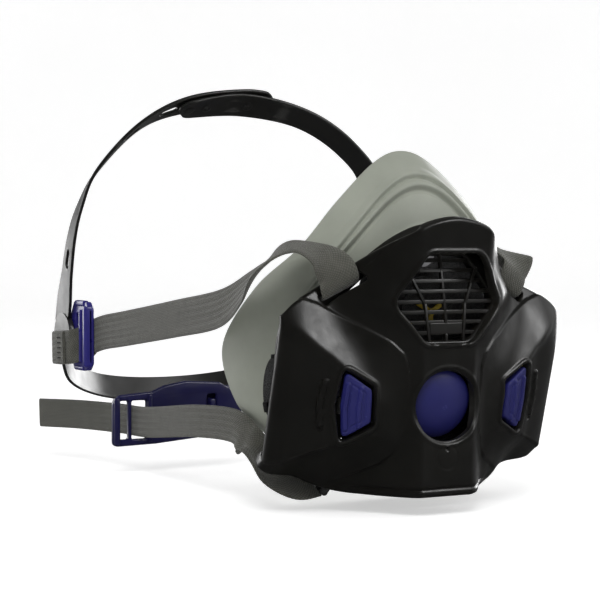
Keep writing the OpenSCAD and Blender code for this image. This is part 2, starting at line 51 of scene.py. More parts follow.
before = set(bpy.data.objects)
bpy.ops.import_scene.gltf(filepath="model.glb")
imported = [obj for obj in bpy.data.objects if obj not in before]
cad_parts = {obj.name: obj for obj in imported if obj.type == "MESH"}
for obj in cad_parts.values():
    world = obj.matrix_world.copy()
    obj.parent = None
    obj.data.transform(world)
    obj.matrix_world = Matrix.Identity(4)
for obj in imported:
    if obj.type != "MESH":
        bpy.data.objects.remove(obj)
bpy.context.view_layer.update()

# The exhaust flap is a flat disc centred at this place in the front frame
FLAP_AT = np.array([0, 10.5, 34])
flap_lo, flap_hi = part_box("exhaust_flap")
FRONT = (np.array(flap_lo) + np.array(flap_hi)) / 2 - FLAP_AT * MM


# ---- small maths
def smooth(a, b, x):
    t = np.clip((x - a) / (b - a), 0, 1)
    return t * t * (3 - 2 * t)


def ramp(t, w):
    return (t + np.sqrt(t * t + w * w)) / 2


def soft_min(a, b, w):
    return (a + b - np.sqrt((a - b) ** 2 + w * w)) / 2


def columns(*parts):
    """One array whose columns are the given ones."""
    return np.stack(parts, axis=1)


def unit(v):
    return v / np.maximum(np.linalg.norm(v, axis=-1, keepdims=True), 1e-12)


def rounded(table, reach, even=True):
    """A lookup in a table of (x, y), corners rounded over reach either side; even means by |x|."""
    xs, ys = np.array(table, float).T
    steps = np.linspace(-1, 1, 9)

    def value(x):
        at = [np.asarray(x, float) + reach * k for k in steps]
        return sum(np.interp(np.abs(v) if even else v, xs, ys) for v in at) / len(steps)
    return value


def spline(knots, u):
    """Catmull-Rom curve through knots at u, an array that runs from 0 to the last knot's number."""
    k = np.asarray(knots, float)
    n = len(k) - 1
    u = np.clip(np.asarray(u, float), 0, n)
    i = np.minimum(n - 1, np.floor(u).astype(int))
    t = (u - i)[:, None]
    p1, p2 = k[i], k[i + 1]
    m1 = np.where((i > 0)[:, None], (p2 - k[np.maximum(i - 1, 0)]) / 2, p2 - p1)
    m2 = np.where((i < n - 1)[:, None], (k[np.minimum(i + 2, n)] - p1) / 2, p2 - p1)
    return (p1 * (2 * t ** 3 - 3 * t ** 2 + 1) + m1 * (t ** 3 - 2 * t ** 2 + t)
            + p2 * (3 * t ** 2 - 2 * t ** 3) + m2 * (t ** 3 - t ** 2))


def round_corners(corners, radius, steps=8):
    """Closed outline whose corners are replaced by arcs of about the given radius."""
    pts = np.array(corners, float)
    out = []
    for k, p in enumerate(pts):
        to_last, to_next = pts[k - 1] - p, pts[(k + 1) % len(pts)] - p
        a, b = unit(to_last), unit(to_next)
        half = math.acos(np.clip(a @ b, -1, 1)) / 2
        cut = min(radius / math.tan(half), 0.45 * np.linalg.norm(to_last), 0.45 * np.linalg.norm(to_next))
        for t in np.linspace(0, 1, steps):
            out.append((1 - t) ** 2 * (p + a * cut) + 2 * t * (1 - t) * p + t * t * (p + b * cut))
    return np.array(out)


def circle(centre, rx, rz=None, steps=96):
    a = np.linspace(0, 2 * math.pi, steps, endpoint=False)
    return np.array(centre) + columns(rx * np.cos(a), (rz or rx) * np.sin(a))


def nearest_on(q, outline, closed=True):
    """For points q: distance to the outline, nearest point on it, and whether q lies inside it."""
    a = np.asarray(outline, float)
    b = np.roll(a, -1, axis=0)
    if not closed:
        a, b = a[:-1], b[:-1]
    best = np.full(len(q), 1e9)
    near = np.zeros_like(q)
    inside = np.zeros(len(q), bool)
    for p0, p1 in zip(a, b):
        d = p1 - p0
        t = np.clip(((q - p0) @ d) / max(d @ d, 1e-12), 0, 1)
        c = p0 + t[:, None] * d
        dist = np.linalg.norm(q - c, axis=1)
        closer = dist < best
        best = np.where(closer, dist, best)
        near[closer] = c[closer]
        crosses = (p0[1] > q[:, 1]) != (p1[1] > q[:, 1])
        with np.errstate(divide="ignore", invalid="ignore"):
            at = p0[0] + (q[:, 1] - p0[1]) * (p1[0] - p0[0]) / (p1[1] - p0[1])
        inside ^= crosses & (q[:, 0] < at)
    return best, near, inside


def signed(q, outline):
    """Distance to a closed outline, negative inside it."""
    d, _, inside = nearest_on(q, outline)
    return np.where(inside, -d, d)


def mirrored(points):
    return np.asarray(points, float) * np.array([-1.0] + [1.0] * (np.shape(points)[-1] - 1))


# ---- meshes
def place(name, points, faces, material, body, uv=None, sharp=38, added=False):
    """Makes the object, in the row frame, on a CAD body; unless added, it stands for its namesake."""
    mesh = bpy.data.meshes.new(name)
    co = np.asarray(points, float) * MM + FRONT
    mesh.from_pydata(co.tolist(), [], [list(map(int, f)) for f in faces])
    mesh.validate()
    mesh.update()
    if uv is not None:
        layer = mesh.uv_layers.new(name="UVMap")
        index = np.zeros(len(mesh.loops), int)
        mesh.loops.foreach_get("vertex_index", index)
        layer.data.foreach_set("uv", np.asarray(uv, np.float32)[index].ravel())
    mesh.shade_smooth()
    mesh.set_sharp_from_angle(angle=math.radians(sharp))
    mesh.materials.append(material)
    obj = bpy.data.objects.new(name, mesh)
    bpy.context.scene.collection.objects.link(obj)
    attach(obj, body)
    if not added:
        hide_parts(name)


def grid_faces(rows, cols, closed=False, ring=False):
    """Quads over a grid whose vertex (i, j) is i * cols + j; closed joins its rows and ring its columns."""
    i, j = np.indices((rows if closed else rows - 1, cols if ring else cols - 1))
    i1, j1 = (i + 1) % rows, (j + 1) % cols
    return np.stack([i * cols + j, i1 * cols + j, i1 * cols + j1, i * cols + j1], axis=-1).reshape(-1, 4)


def grid_normals(p, closed=False):
    """Normals of a grid of points p[i, j], by differences along both directions."""
    if closed:
        di = np.roll(p, -1, axis=0) - np.roll(p, 1, axis=0)
    else:
        di = np.gradient(p, axis=0)
    return unit(np.cross(di, np.gradient(p, axis=1)))


def thick(points, normals, faces, t):
    """Closed skin: faces on points, the same faces t further back along normals, and a rim between."""
    n = len(points)
    edges = np.concatenate([faces[:, [k, (k + 1) % 4]] for k in range(4)])
    edges = edges[edges[:, 0] != edges[:, 1]]
    _, first, count = np.unique(np.sort(edges, axis=1), axis=0, return_index=True, return_counts=True)
    rim = edges[first[count == 1]]
    walls = columns(rim[:, 1], rim[:, 0], rim[:, 0] + n, rim[:, 1] + n)
    return (np.concatenate([points, points - normals * t]),
            np.concatenate([faces, faces[:, ::-1] + n, walls]))


def compact(points, faces):
    used, index = np.unique(faces, return_inverse=True)
    return points[used], index.reshape(faces.shape)


def clean_faces(faces):
    """Faces as lists, without repeated corners, and without those left with fewer than three."""
    out = []
    for f in faces:
        g = [v for k, v in enumerate(f) if v != f[k - 1]]
        if len(g) > 2:
            out.append(g)
    return out


def revolve(profile, steps=96):
    """Skin of (radius, height) points turned about local Z; a radius of 0 closes an end."""
    profile = np.array(profile, float)
    a = np.linspace(0, 2 * math.pi, steps, endpoint=False)
    r, z = np.broadcast_arrays(profile[None, :, 0], profile[None, :, 1])
    p = np.stack(np.broadcast_arrays(r * np.cos(a)[:, None], r * np.sin(a)[:, None], z), axis=-1)
    return p.reshape(-1, 3), grid_faces(steps, len(profile), closed=True)


def arc(centre, radius, a0, a1, steps=8):
    a = np.radians(np.linspace(a0, a1, steps))
    return [(centre[0] + radius * math.cos(t), centre[1] + radius * math.sin(t)) for t in a]


def flat_plate(outline, holes, t, bevel):
    """Plate in local X and Y, centred on Z = 0, with holes and rounded edges, as (points, faces)."""
    curve = bpy.data.curves.new("outline", "CURVE")
    curve.dimensions = "2D"
    curve.fill_mode = "BOTH"
    curve.extrude = t / 2 - bevel
    curve.bevel_depth = bevel
    curve.bevel_resolution = 2
    curve.offset = -bevel
    for ring in [outline] + list(holes):
        line = curve.splines.new("POLY")
        line.points.add(len(ring) - 1)
        for point, q in zip(line.points, ring):
            point.co = (q[0], q[1], 0, 1)
        line.use_cyclic_u = True
    obj = bpy.data.objects.new("outline", curve)
    bpy.context.scene.collection.objects.link(obj)
    bpy.context.view_layer.update()
    mesh = bpy.data.meshes.new_from_object(obj.evaluated_get(bpy.context.evaluated_depsgraph_get()))
    bpy.data.objects.remove(obj)
    bpy.data.curves.remove(curve)
    bm = bmesh.new()
    bm.from_mesh(mesh)
    bmesh.ops.remove_doubles(bm, verts=bm.verts, dist=0.002)
    bmesh.ops.recalc_face_normals(bm, faces=bm.faces)
    points, faces = bm_data(bm)
    bm.free()
    bpy.data.meshes.remove(mesh)
    return points, faces


def bm_data(bm):
    bm.verts.index_update()
    return np.array([v.co for v in bm.verts]), [[v.index for v in f.verts] for f in bm.faces]


def cut_across(points, faces, step):
    """The same solid, cut by planes across X every step, so that it can be bent."""
    bm = bmesh.new()
    verts = [bm.verts.new(p) for p in points]
    for f in faces:
        try:
            bm.faces.new([verts[k] for k in f])
        except ValueError:
            pass
    lo, hi = points[:, 0].min(), points[:, 0].max()
    for x in np.arange(lo + step / 2, hi, step):
        geom = bm.verts[:] + bm.edges[:] + bm.faces[:]
        bmesh.ops.bisect_plane(bm, geom=geom, dist=1e-4, plane_co=(x, 0, 0), plane_no=(1, 0, 0))
    result = bm_data(bm)
    bm.free()
    return result


def merge(*parts):
    """Joins (points, faces) pairs into one pair."""
    points, faces, base = [], [], 0
    for p, f in parts:
        points.append(np.asarray(p, float))
        faces += [[int(v) + base for v in face] for face in f]
        base += len(p)
    return np.concatenate(points), faces


def flipped(faces):
    return [list(f)[::-1] for f in faces]


# ---- materials
def node_material(name):
    m = bpy.data.materials.new(name)
    m.use_nodes = True
    tree = m.node_tree
    bsdf = tree.nodes["Principled BSDF"]
    return m, tree, bsdf


def put(tree, node, **inputs):
    """Sets or links a node's inputs, named with underscores for spaces."""
    for key, value in inputs.items():
        socket = node.inputs[key.replace("_", " ")]
        if isinstance(value, bpy.types.NodeSocket):
            tree.links.new(value, socket)
        else:
            socket.default_value = value


def add(tree, kind, **inputs):
    """Adds a node with its inputs set or linked."""
    node = tree.nodes.new(kind)
    put(tree, node, **inputs)
    return node


def maths(tree, operation, a, b=None):
    node = add(tree, "ShaderNodeMath")
    node.operation = operation
    for socket, value in zip(node.inputs, (a, b)):
        if isinstance(value, (int, float)):
            socket.default_value = value
        elif value is not None:
            tree.links.new(value, socket)
    return node.outputs[0]


def mix_colour(tree, factor, a, b):
    node = add(tree, "ShaderNodeMix")
    node.data_type = "RGBA"
    for socket, value in ((node.inputs[0], factor), (node.inputs[6], a), (node.inputs[7], b)):
        if isinstance(value, (int, float)):
            socket.default_value = value
        elif isinstance(value, tuple):
            socket.default_value = (*value, 1)
        else:
            tree.links.new(value, socket)
    return node.outputs[2]


def noise(tree, coords, scale, detail=3.0, rough=0.55):
    node = add(tree, "ShaderNodeTexNoise", Scale=scale, Detail=detail, Roughness=rough, Vector=coords)
    return node.outputs["Fac"]


def bump(tree, height, strength, distance):
    return add(tree, "ShaderNodeBump", Strength=strength, Distance=distance, Height=height).outputs["Normal"]


def stretch(tree, value, lo, hi, to_lo=0.0, to_hi=1.0):
    node = add(tree, "ShaderNodeMapRange", Value=value, From_Min=lo, From_Max=hi, To_Min=to_lo, To_Max=to_hi)
    return node.outputs["Result"]


def moulded(name, dark, light, rough, grain=2600.0, grain_depth=0.05, wear=(0.2, 0.2, 0.2),
            wear_amount=0.25, specular=0.5, sheen=0.0, subsurface=0.0):
    """Moulded plastic or rubber: mottled colour, fine spark-eroded grain, dust and paler worn edges."""
    m, tree, bsdf = node_material(name)
    coords = add(tree, "ShaderNodeTexCoord").outputs["Object"]
    cloud = stretch(tree, noise(tree, coords, 55.0, 4.0), 0.3, 0.7)
    colour = mix_colour(tree, cloud, dark, light)
    fine = noise(tree, coords, grain, 2.0, 0.6)
    edges = add(tree, "ShaderNodeNewGeometry").outputs["Pointiness"]
    worn = maths(tree, "MULTIPLY", stretch(tree, edges, 0.53, 0.62), stretch(tree, fine, 0.3, 0.6))
    colour = mix_colour(tree, maths(tree, "MULTIPLY", worn, wear_amount), colour, wear)
    patchy = noise(tree, coords, 140.0, 3.0)
    put(tree, bsdf, Base_Color=colour, Normal=bump(tree, fine, grain_depth, 0.0002),
        Roughness=stretch(tree, patchy, 0.3, 0.7, rough - 0.05, rough + 0.07),
        Specular_IOR_Level=specular, Sheen_Weight=sheen, Sheen_Roughness=0.5)
    if subsurface:
        put(tree, bsdf, Subsurface_Weight=subsurface, Subsurface_Radius=(0.004, 0.0036, 0.003))
    return m


def woven(name, dark, light, pitch=1.1, ends=0.62):
    """Elastic webbing: crosswise ribs of weft over fine warp cords, from UVs in millimetres."""
    m, tree, bsdf = node_material(name)
    uv = add(tree, "ShaderNodeUVMap").outputs["UV"]
    along, across = add(tree, "ShaderNodeSeparateXYZ", Vector=uv).outputs[:2]
    wobble = maths(tree, "MULTIPLY", maths(tree, "SUBTRACT", noise(tree, uv, 1.7, 2.0), 0.5), 0.35)
    cord = maths(tree, "MULTIPLY", maths(tree, "ADD", across, wobble), 1 / ends)
    parity = maths(tree, "MULTIPLY", maths(tree, "MODULO", maths(tree, "FLOOR", cord), 2.0), 0.5)
    run = maths(tree, "MULTIPLY", maths(tree, "ADD", along, wobble), 1 / pitch)
    rib_phase = maths(tree, "ADD", run, parity)
    rib = maths(tree, "SINE", maths(tree, "MULTIPLY", rib_phase, 2 * math.pi))
    warp = maths(tree, "ABSOLUTE", maths(tree, "SINE", maths(tree, "MULTIPLY", cord, math.pi)))
    knit = maths(tree, "MULTIPLY", stretch(tree, rib, -1, 1, 0.25, 1), stretch(tree, warp, 0, 1, 0.45, 1))
    fuzz = noise(tree, uv, 9.0, 4.0, 0.7)
    height = maths(tree, "ADD", knit, maths(tree, "MULTIPLY", fuzz, 0.5))
    blotch = noise(tree, uv, 0.25, 3.0)
    tone = maths(tree, "ADD", maths(tree, "MULTIPLY", knit, 0.62), maths(tree, "MULTIPLY", fuzz, 0.35))
    tone = maths(tree, "ADD", tone, maths(tree, "MULTIPLY", maths(tree, "SUBTRACT", blotch, 0.5), 0.5))
    put(tree, bsdf, Base_Color=mix_colour(tree, tone, dark, light), Normal=bump(tree, height, 0.75, 0.00025),
        Roughness=0.88, Specular_IOR_Level=0.25, Sheen_Weight=0.35, Sheen_Roughness=0.4)
    return m


def metal(name, colour, rough):
    m, tree, bsdf = node_material(name)
    coords = add(tree, "ShaderNodeTexCoord").outputs["Object"]
    streak = noise(tree, coords, 900.0, 3.0)
    put(tree, bsdf, Base_Color=(*colour, 1), Metallic=1.0, Normal=bump(tree, streak, 0.06, 0.0001),
        Roughness=stretch(tree, streak, 0.3, 0.7, rough - 0.08, rough + 0.1))
    return m


SHELL = moulded("shell_black_satin", (0.0040, 0.0036, 0.0026), (0.0068, 0.0062, 0.0046), 0.36,
                wear=(0.045, 0.044, 0.038), wear_amount=0.5, grain_depth=0.07)
GRILLE = moulded("grille_black", (0.0075, 0.0070, 0.0058), (0.0120, 0.0112, 0.0096), 0.36,
                 wear=(0.05, 0.05, 0.045), wear_amount=0.4, grain_depth=0.05)
INNER = moulded("inner_dark_plastic", (0.003, 0.003, 0.003), (0.006, 0.006, 0.006), 0.5, specular=0.2)
BLUE = moulded("button_blue_matte", (0.011, 0.012, 0.110), (0.017, 0.018, 0.145), 0.55,
               wear=(0.08, 0.08, 0.3), wear_amount=0.4, specular=0.35, grain_depth=0.09)
BUCKLE_BLUE = moulded("buckle_blue_gloss", (0.022, 0.018, 0.17), (0.032, 0.028, 0.22), 0.30,
                      wear=(0.12, 0.12, 0.35), wear_amount=0.35, specular=0.5, grain_depth=0.03)
CLASP_BLUE = moulded("clasp_dark_blue", (0.008, 0.007, 0.05), (0.012, 0.011, 0.07), 0.34,
                     wear=(0.05, 0.05, 0.18), wear_amount=0.35)
SILICONE = moulded("seal_grey_silicone", (0.300, 0.318, 0.268), (0.350, 0.368, 0.312), 0.52, grain=1500.0,
                   grain_depth=0.05, wear=(0.3, 0.31, 0.27), wear_amount=0.15, specular=0.4, sheen=0.12,
                   subsurface=0.12)
CRADLE = moulded("cradle_grey_black", (0.0050, 0.0048, 0.0040), (0.0085, 0.0082, 0.0070), 0.34,
                 wear=(0.09, 0.09, 0.085), wear_amount=0.4, grain_depth=0.05, specular=0.8)
RUBBER = moulded("gasket_black_rubber", (0.004, 0.004, 0.004), (0.008, 0.008, 0.008), 0.6, grain_depth=0.1,
                 specular=0.2)
YELLOW = moulded("valve_yellow_rubber", (0.42, 0.30, 0.015), (0.56, 0.40, 0.02), 0.42, subsurface=0.05)
FILM = moulded("diaphragm_silver_film", (0.35, 0.35, 0.36), (0.5, 0.5, 0.52), 0.25, specular=0.8)
WEBBING = woven("grey_elastic_webbing", (0.034, 0.034, 0.029), (0.155, 0.155, 0.132))
THREAD = moulded("dark_sewing_thread", (0.012, 0.012, 0.012), (0.03, 0.03, 0.028), 0.8, grain_depth=0.3)
STEEL = metal("spring_steel", (0.55, 0.55, 0.57), 0.3)


# ---- the front shell's surface
HALF_W = 60.5
SHELL_T = 2.2
NOSE_FACE = -3.7
STEP = 1.0
top_z = rounded([(0, 68.7), (10, 67), (16, 64.3), (24, 59), (32, 52), (40, 45.7), (50, 41), (57, 37),
                 (62, 30.9)], 4)
bottom_z = rounded([(0, -33), (30, -33), (38.5, -31), (47, -26.5), (62, -21.5)], 3.5)
nose_half = rounded([(10, 10), (13, 10), (24, 10), (38, 23.5), (48, 20.5), (56, 13), (62, 9), (69, 3),
                     (72, 1)], 4, even=False)
wing_lower = rounded([(0, -18), (27, -10), (38.8, -12.8), (62, -20)], 3)
wing_lower_slope = rounded([(0, .15), (25, .3), (37.5, .7), (45, 1.2), (62, 1.2)], 3)
WING = [(64, 40.8), (56, 40), (50, 39.2), (45, 37.6), (39, 34), (30, 29), (22, 24), (17.5, 19.5),
        (15.6, 14.5), (15.1, 6), (15.4, -3), (16.6, -11), (18.6, -16.5), (22.5, -20.8), (28, -23.5),
        (36, -27.5), (45, -34), (64, -34)]
WINDOW = [(-39.8, 15.2), (-27.9, 8.1), (-27.4, -6.5), (-38.8, -12.8), (-41.4, 1.1)]
GRILLE_CORNERS = [(-11, 55.5), (11, 55.5), (22.6, 37.6), (9.8, 23), (-9.8, 23), (-22.6, 37.6)]
wing_outline = round_corners(WING, 5, 5)
window_outline = round_corners(WINDOW, 2.2)
grille_outline = round_corners(GRILLE_CORNERS, 5.5)
BUTTON_HOLE = (13.3, 13.3 * math.cos(math.radians(14)))
button_outline = circle((0, 0), *BUTTON_HOLE)
SLOT_AT, SLOT_DIR, SLOT_L, SLOT_H = np.array([-36.6, 43.4]), unit(np.array([-0.80, -0.60])), 16.4, 4.2
SLOT_ACROSS = np.array([SLOT_DIR[1], -SLOT_DIR[0]])
slot_outline = round_corners([SLOT_AT + SLOT_DIR * SLOT_L / 2 * a + SLOT_ACROSS * SLOT_H / 2 * b
                              for a, b in ((-1, -1), (-1, 1), (1, 1), (1, -1))], 1.2)


def lean(z):
    """How far the nose leans back towards its top."""
    return 0.0045 * np.maximum(0, z - 23) ** 2


def nose_y(x, z):
    t = np.maximum(0, np.abs(x) - nose_half(z))
    return NOSE_FACE + 1.9 * (np.sqrt(t * t + 41) - 6.4) + lean(z) * (1 - smooth(3, 14, t))


def wing_y(x, z):
    a = np.abs(x)
    out = np.maximum(0, a - 22)
    upper = 15.2 + 0.854 * (a - 39.8)
    return (0.3 + 0.0147 * out ** 2 - (0.18 + 0.003 * out) * z
            + 0.68 * smooth(14, 44, a) * ramp(z - upper, 1.6)
            + wing_lower_slope(a) * ramp(wing_lower(a) - z, 0.5))


def shell_y(x, z):
    """Front surface of the shell without its small details."""
    shape = x.shape
    q = columns(np.abs(x).ravel(), z.ravel())
    recess = smooth(-0.4, 0.4, signed(q, wing_outline)).reshape(shape)
    fade = 1 - smooth(30, 42, np.abs(x)) * smooth(-14, -22, z)
    return soft_min(nose_y(x, z), wing_y(x, z) + STEP * recess * fade, 4)


def surface(q):
    """Points and outward normals of the shell's front at q, rows of (x, z)."""
    x, z = q[:, 0], q[:, 1]
    d = 0.15
    y = shell_y(x, z)
    fx = (shell_y(x + d, z) - shell_y(x - d, z)) / (2 * d)
    fz = (shell_y(x, z + d) - shell_y(x, z - d)) / (2 * d)
    return columns(x, y, z), unit(columns(fx, -np.ones_like(fx), fz))


def edge_round(d, r):
    """How far a surface drops at distance d inside its edge, for an edge rounded by r."""
    t = np.clip(1 - d / r, 0, 1)
    return r * (1 - np.sqrt(np.maximum(0, 1 - t * t)))


def band(d, middle, half, soft):
    """1 within half of middle, falling to 0 over soft."""
    return 1 - smooth(half, half + soft, np.abs(d - middle))


def on_line(q, knots, inner, outer):
    """1 on the open line through knots, falling to 0 between inner and outer from it."""
    distance, _, _ = nearest_on(q, knots, closed=False)
    return 1 - smooth(inner, outer, distance)


def on_spot(q, x, z, inner, outer):
    return 1 - smooth(inner, outer, np.hypot(q[:, 0] - x, q[:, 1] - z))


def shell_detail(q):
    """Small relief of the shell along its normal, in mm; windows, slots and wings are alike on both sides."""
    a = np.abs(q[:, 0])
    left = columns(-a, q[:, 1])
    # Beads round the windows and the grille
    to_window, to_grille = signed(left, window_outline), signed(q, grille_outline)
    h = 0.45 * band(to_window, 0.9, 0.5, 0.5) + 0.55 * band(to_grille, 0.8, 0.5, 0.6)
    # Dish and bead round the seal-check button
    e = np.hypot(q[:, 0] / BUTTON_HOLE[0], q[:, 1] / BUTTON_HOLE[1]) * BUTTON_HOLE[0]
    h -= 0.8 * (1 - smooth(13.4, 14.3, e)) - 0.2 * band(e, 14.9, 0.3, 0.5)
    # Upright ridge beside each window, with a notch under it, and the crease that runs back below
    h += 0.85 * on_line(left, [(-45.3, 10.2), (-46.3, 2), (-45.4, -5.5)], 0.75, 1.15)
    h -= 0.7 * on_spot(left, -45.3, -7.4, 0.4, 0.9)
    h += 0.3 * on_line(left, [(-59, -19.1), (-50, -16.3), (-42, -13.8)], 0.1, 0.7)
    # Grooves: along the wing's step, down the side of the nose and near the chin
    outline, _, _ = nearest_on(left, wing_outline)
    h -= 0.3 * (1 - smooth(0.1, 0.6, outline)) * (1 - smooth(40, 50, a))
    h -= 0.3 * on_line(left, [(-20, 61), (-22, 59), (-29, 51.5), (-31.5, 46.5)], 0.15, 0.6)
    to_bottom = q[:, 1] - bottom_z(q[:, 0])
    h -= 0.5 * band(to_bottom, 3.0, 0.15, 0.6) * (1 - smooth(26, 34, a))
    # Round witness mark of the mould under the button, and its gate
    h -= 0.14 * band(np.hypot(q[:, 0], q[:, 1] + 18.5), 4.3, 0.15, 0.35)
    h -= 0.9 * on_spot(q, 0, -15.5, 0.45, 0.95)
    # Eased edges of the openings and of the rim
    to_top, to_side = top_z(q[:, 0]) - q[:, 1], HALF_W - a
    rim = np.minimum(np.minimum(to_top * 0.85, to_bottom), to_side)
    for depth, radius in ((to_window, 0.5), (to_grille, 0.5), (signed(left, slot_outline), 0.7), (rim, 1.3)):
        h -= edge_round(np.maximum(depth, 0), radius)
    # Fuller flanks that roll back at the sides, less so towards the top
    fuller = 1 - 0.8 * smooth(15, 42, q[:, 1])
    return h + fuller * (2.6 * smooth(44, 57, a) - 0.75 * edge_round(np.maximum(to_side, 0), 5.0))


def shell_patch(q, faces, holes, lift, t):
    """A thick piece of the shell's surface over q, cut to keep outside the holes."""
    for hole in holes:
        lo, hi = hole.min(0) - 3, hole.max(0) + 3
        near = np.all((q > lo) & (q < hi), axis=1)
        index = np.nonzero(near)[0]
        _, snap, inside = nearest_on(q[near], hole)
        is_in = np.zeros(len(q), bool)
        is_in[index] = inside
        keep = ~np.all(is_in[faces], axis=1)
        faces = faces[keep]
        edge = np.zeros(len(q), bool)
        edge[np.unique(faces)] = True
        move = edge[index] & inside
        q = q.copy()
        q[index[move]] = snap[move]
    q, faces = compact(q, faces)
    p, n = surface(q)
    return thick(p + n * lift(q)[:, None], n, faces, t)


def front_shell():
    cols, rows = 250, 210
    x = np.linspace(-HALF_W, HALF_W, cols)
    v = np.linspace(0, 1, rows)
    z = bottom_z(x)[:, None] * (1 - v) + top_z(x)[:, None] * v
    q = np.stack([np.broadcast_to(x[:, None], z.shape), z], axis=-1).reshape(-1, 2)
    faces = grid_faces(cols, rows)
    holes = [grille_outline, button_outline]
    for side in (window_outline, slot_outline):
        holes += [side, mirrored(side)]
    points, faces = shell_patch(q, faces, holes, shell_detail, SHELL_T)
    place("front_shell", points, clean_faces(faces), SHELL, "mask", sharp=50)


front_shell()


# ---- pieces set in the shell
def fan(outline, rings):
    """Rows of (x, z) that fill a star-shaped outline from its middle, with faces of four indices."""
    middle = outline.mean(0)
    r = np.linspace(0, 1, rings + 1)[1:]
    q = middle + r[:, None, None] * (outline - middle)
    n = len(outline)
    ring = grid_faces(n, rings, closed=True)
    ring = (ring % rings) * n + ring // rings + 1
    tip = np.arange(n)
    first = columns(np.zeros(n, int), np.zeros(n, int), 1 + (tip + 1) % n, 1 + tip)
    return np.concatenate([middle[None], q.reshape(-1, 2)]), np.concatenate([first[:, ::-1], ring[:, ::-1]])


def dense(outline, step):
    """The same outline with points at most step apart."""
    out = []
    for p, q in zip(outline, np.roll(outline, -1, axis=0)):
        n = max(1, math.ceil(np.linalg.norm(q - p) / step))
        out += [p + (q - p) * k / n for k in range(n)]
    return np.array(out)


def button_relief(outline):
    """Relief of a release button: an eased edge, a faint inner border and two upright ridges."""
    def lift(q):
        left = columns(-np.abs(q[:, 0]), q[:, 1])
        depth = -signed(q, outline)
        h = -0.25 - edge_round(np.maximum(depth, 0), 1.0) + 0.25 * smooth(0, 7, depth)
        for x, top, low in ((-37.9, 8.6, -7.2), (-33.3, 7.2, -6.6)):
            h += 0.7 * on_line(left, [(x, top), (x - 0.4, 0), (x + 0.3, low)], 0.45, 1.15)
        return h - 0.25 * band(depth, 2.6, 0.1, 0.5)
    return lift


def release_button(side):
    """Button set gap inside its window, on a thin dark flange that reaches under the shell."""
    gap, button_t = 1.55, 3.2
    flange_reach, flange_drop, flange_t = 1.1, 3.9, 1.0
    small = window_outline + gap * unit(window_outline.mean(0) - window_outline)
    outline = dense(small if side == "left" else mirrored(small), 0.35)
    q, faces = fan(outline, 34)
    if side == "right":
        faces = faces[:, ::-1]
    points, skin = shell_patch(q, faces, [], button_relief(outline), button_t)
    place(f"release_button_{side}", points, clean_faces(skin), BLUE, f"release_{side}")
    from_middle = q - q[:1]
    wider = (gap + flange_reach) * smooth(0, 8, np.linalg.norm(from_middle, axis=1))
    q = q + unit(from_middle) * wider[:, None]
    points, skin = shell_patch(q, faces, [], lambda at: np.full(len(at), -flange_drop), flange_t)
    place(f"release_flange_{side}", points, clean_faces(skin), INNER, f"release_{side}",
          added=True)


def sweep(centres, u_axes, v_axes, profile):
    """Solid swept through centres; profile is a closed ring of (u, v), one ring or one per centre."""
    profile = np.broadcast_to(np.asarray(profile, float), (len(centres),) + np.shape(profile)[-2:])
    p = (centres[:, None] + profile[..., :1] * u_axes[:, None] + profile[..., 1:] * v_axes[:, None])
    n, m = p.shape[:2]
    faces = grid_faces(n, m, ring=True).tolist()
    faces += [list(range(m)), list(range(n * m - 1, (n - 1) * m - 1, -1))]
    return p.reshape(-1, 3), faces


def box_outline(x0, y0, x1, y1, radius, steps=4):
    return round_corners([(x0, y0), (x1, y0), (x1, y1), (x0, y1)], radius, steps)


def round_rect(w, h, radius, steps=5):
    return box_outline(-w / 2, -h / 2, w / 2, h / 2, radius, steps)


def bar(p0, p1, u, w, h, r):
    """Rounded bar from p0 to p1; u is about the direction of its width w, and its ends are eased."""
    p0, p1 = np.array(p0, float), np.array(p1, float)
    along = unit(p1 - p0)
    u = unit(np.array(u, float) - along * (np.array(u) @ along))
    v = np.cross(along, u)
    length = np.linalg.norm(p1 - p0)
    e = min(r, length / 4)
    at = np.array([0, e * 0.3, e, length - e, length - e * 0.3, length])
    shrink = np.array([0.75, 0.92, 1, 1, 0.92, 0.75])
    centres = p0 + at[:, None] * along
    ring = round_rect(w, h, r)[None] * shrink[:, None, None]
    return sweep(centres, np.tile(u, (len(at), 1)), np.tile(v, (len(at), 1)), ring)


LOUVRES, LOUVRE_PITCH, LOUVRE_Z = 8, 3.75, 26.75
LOUVRE_H, LOUVRE_DEEP = 1.55, 2.4
RIB_W, RIB_DEEP, RIB_EASE = 1.15, 1.7, 0.35


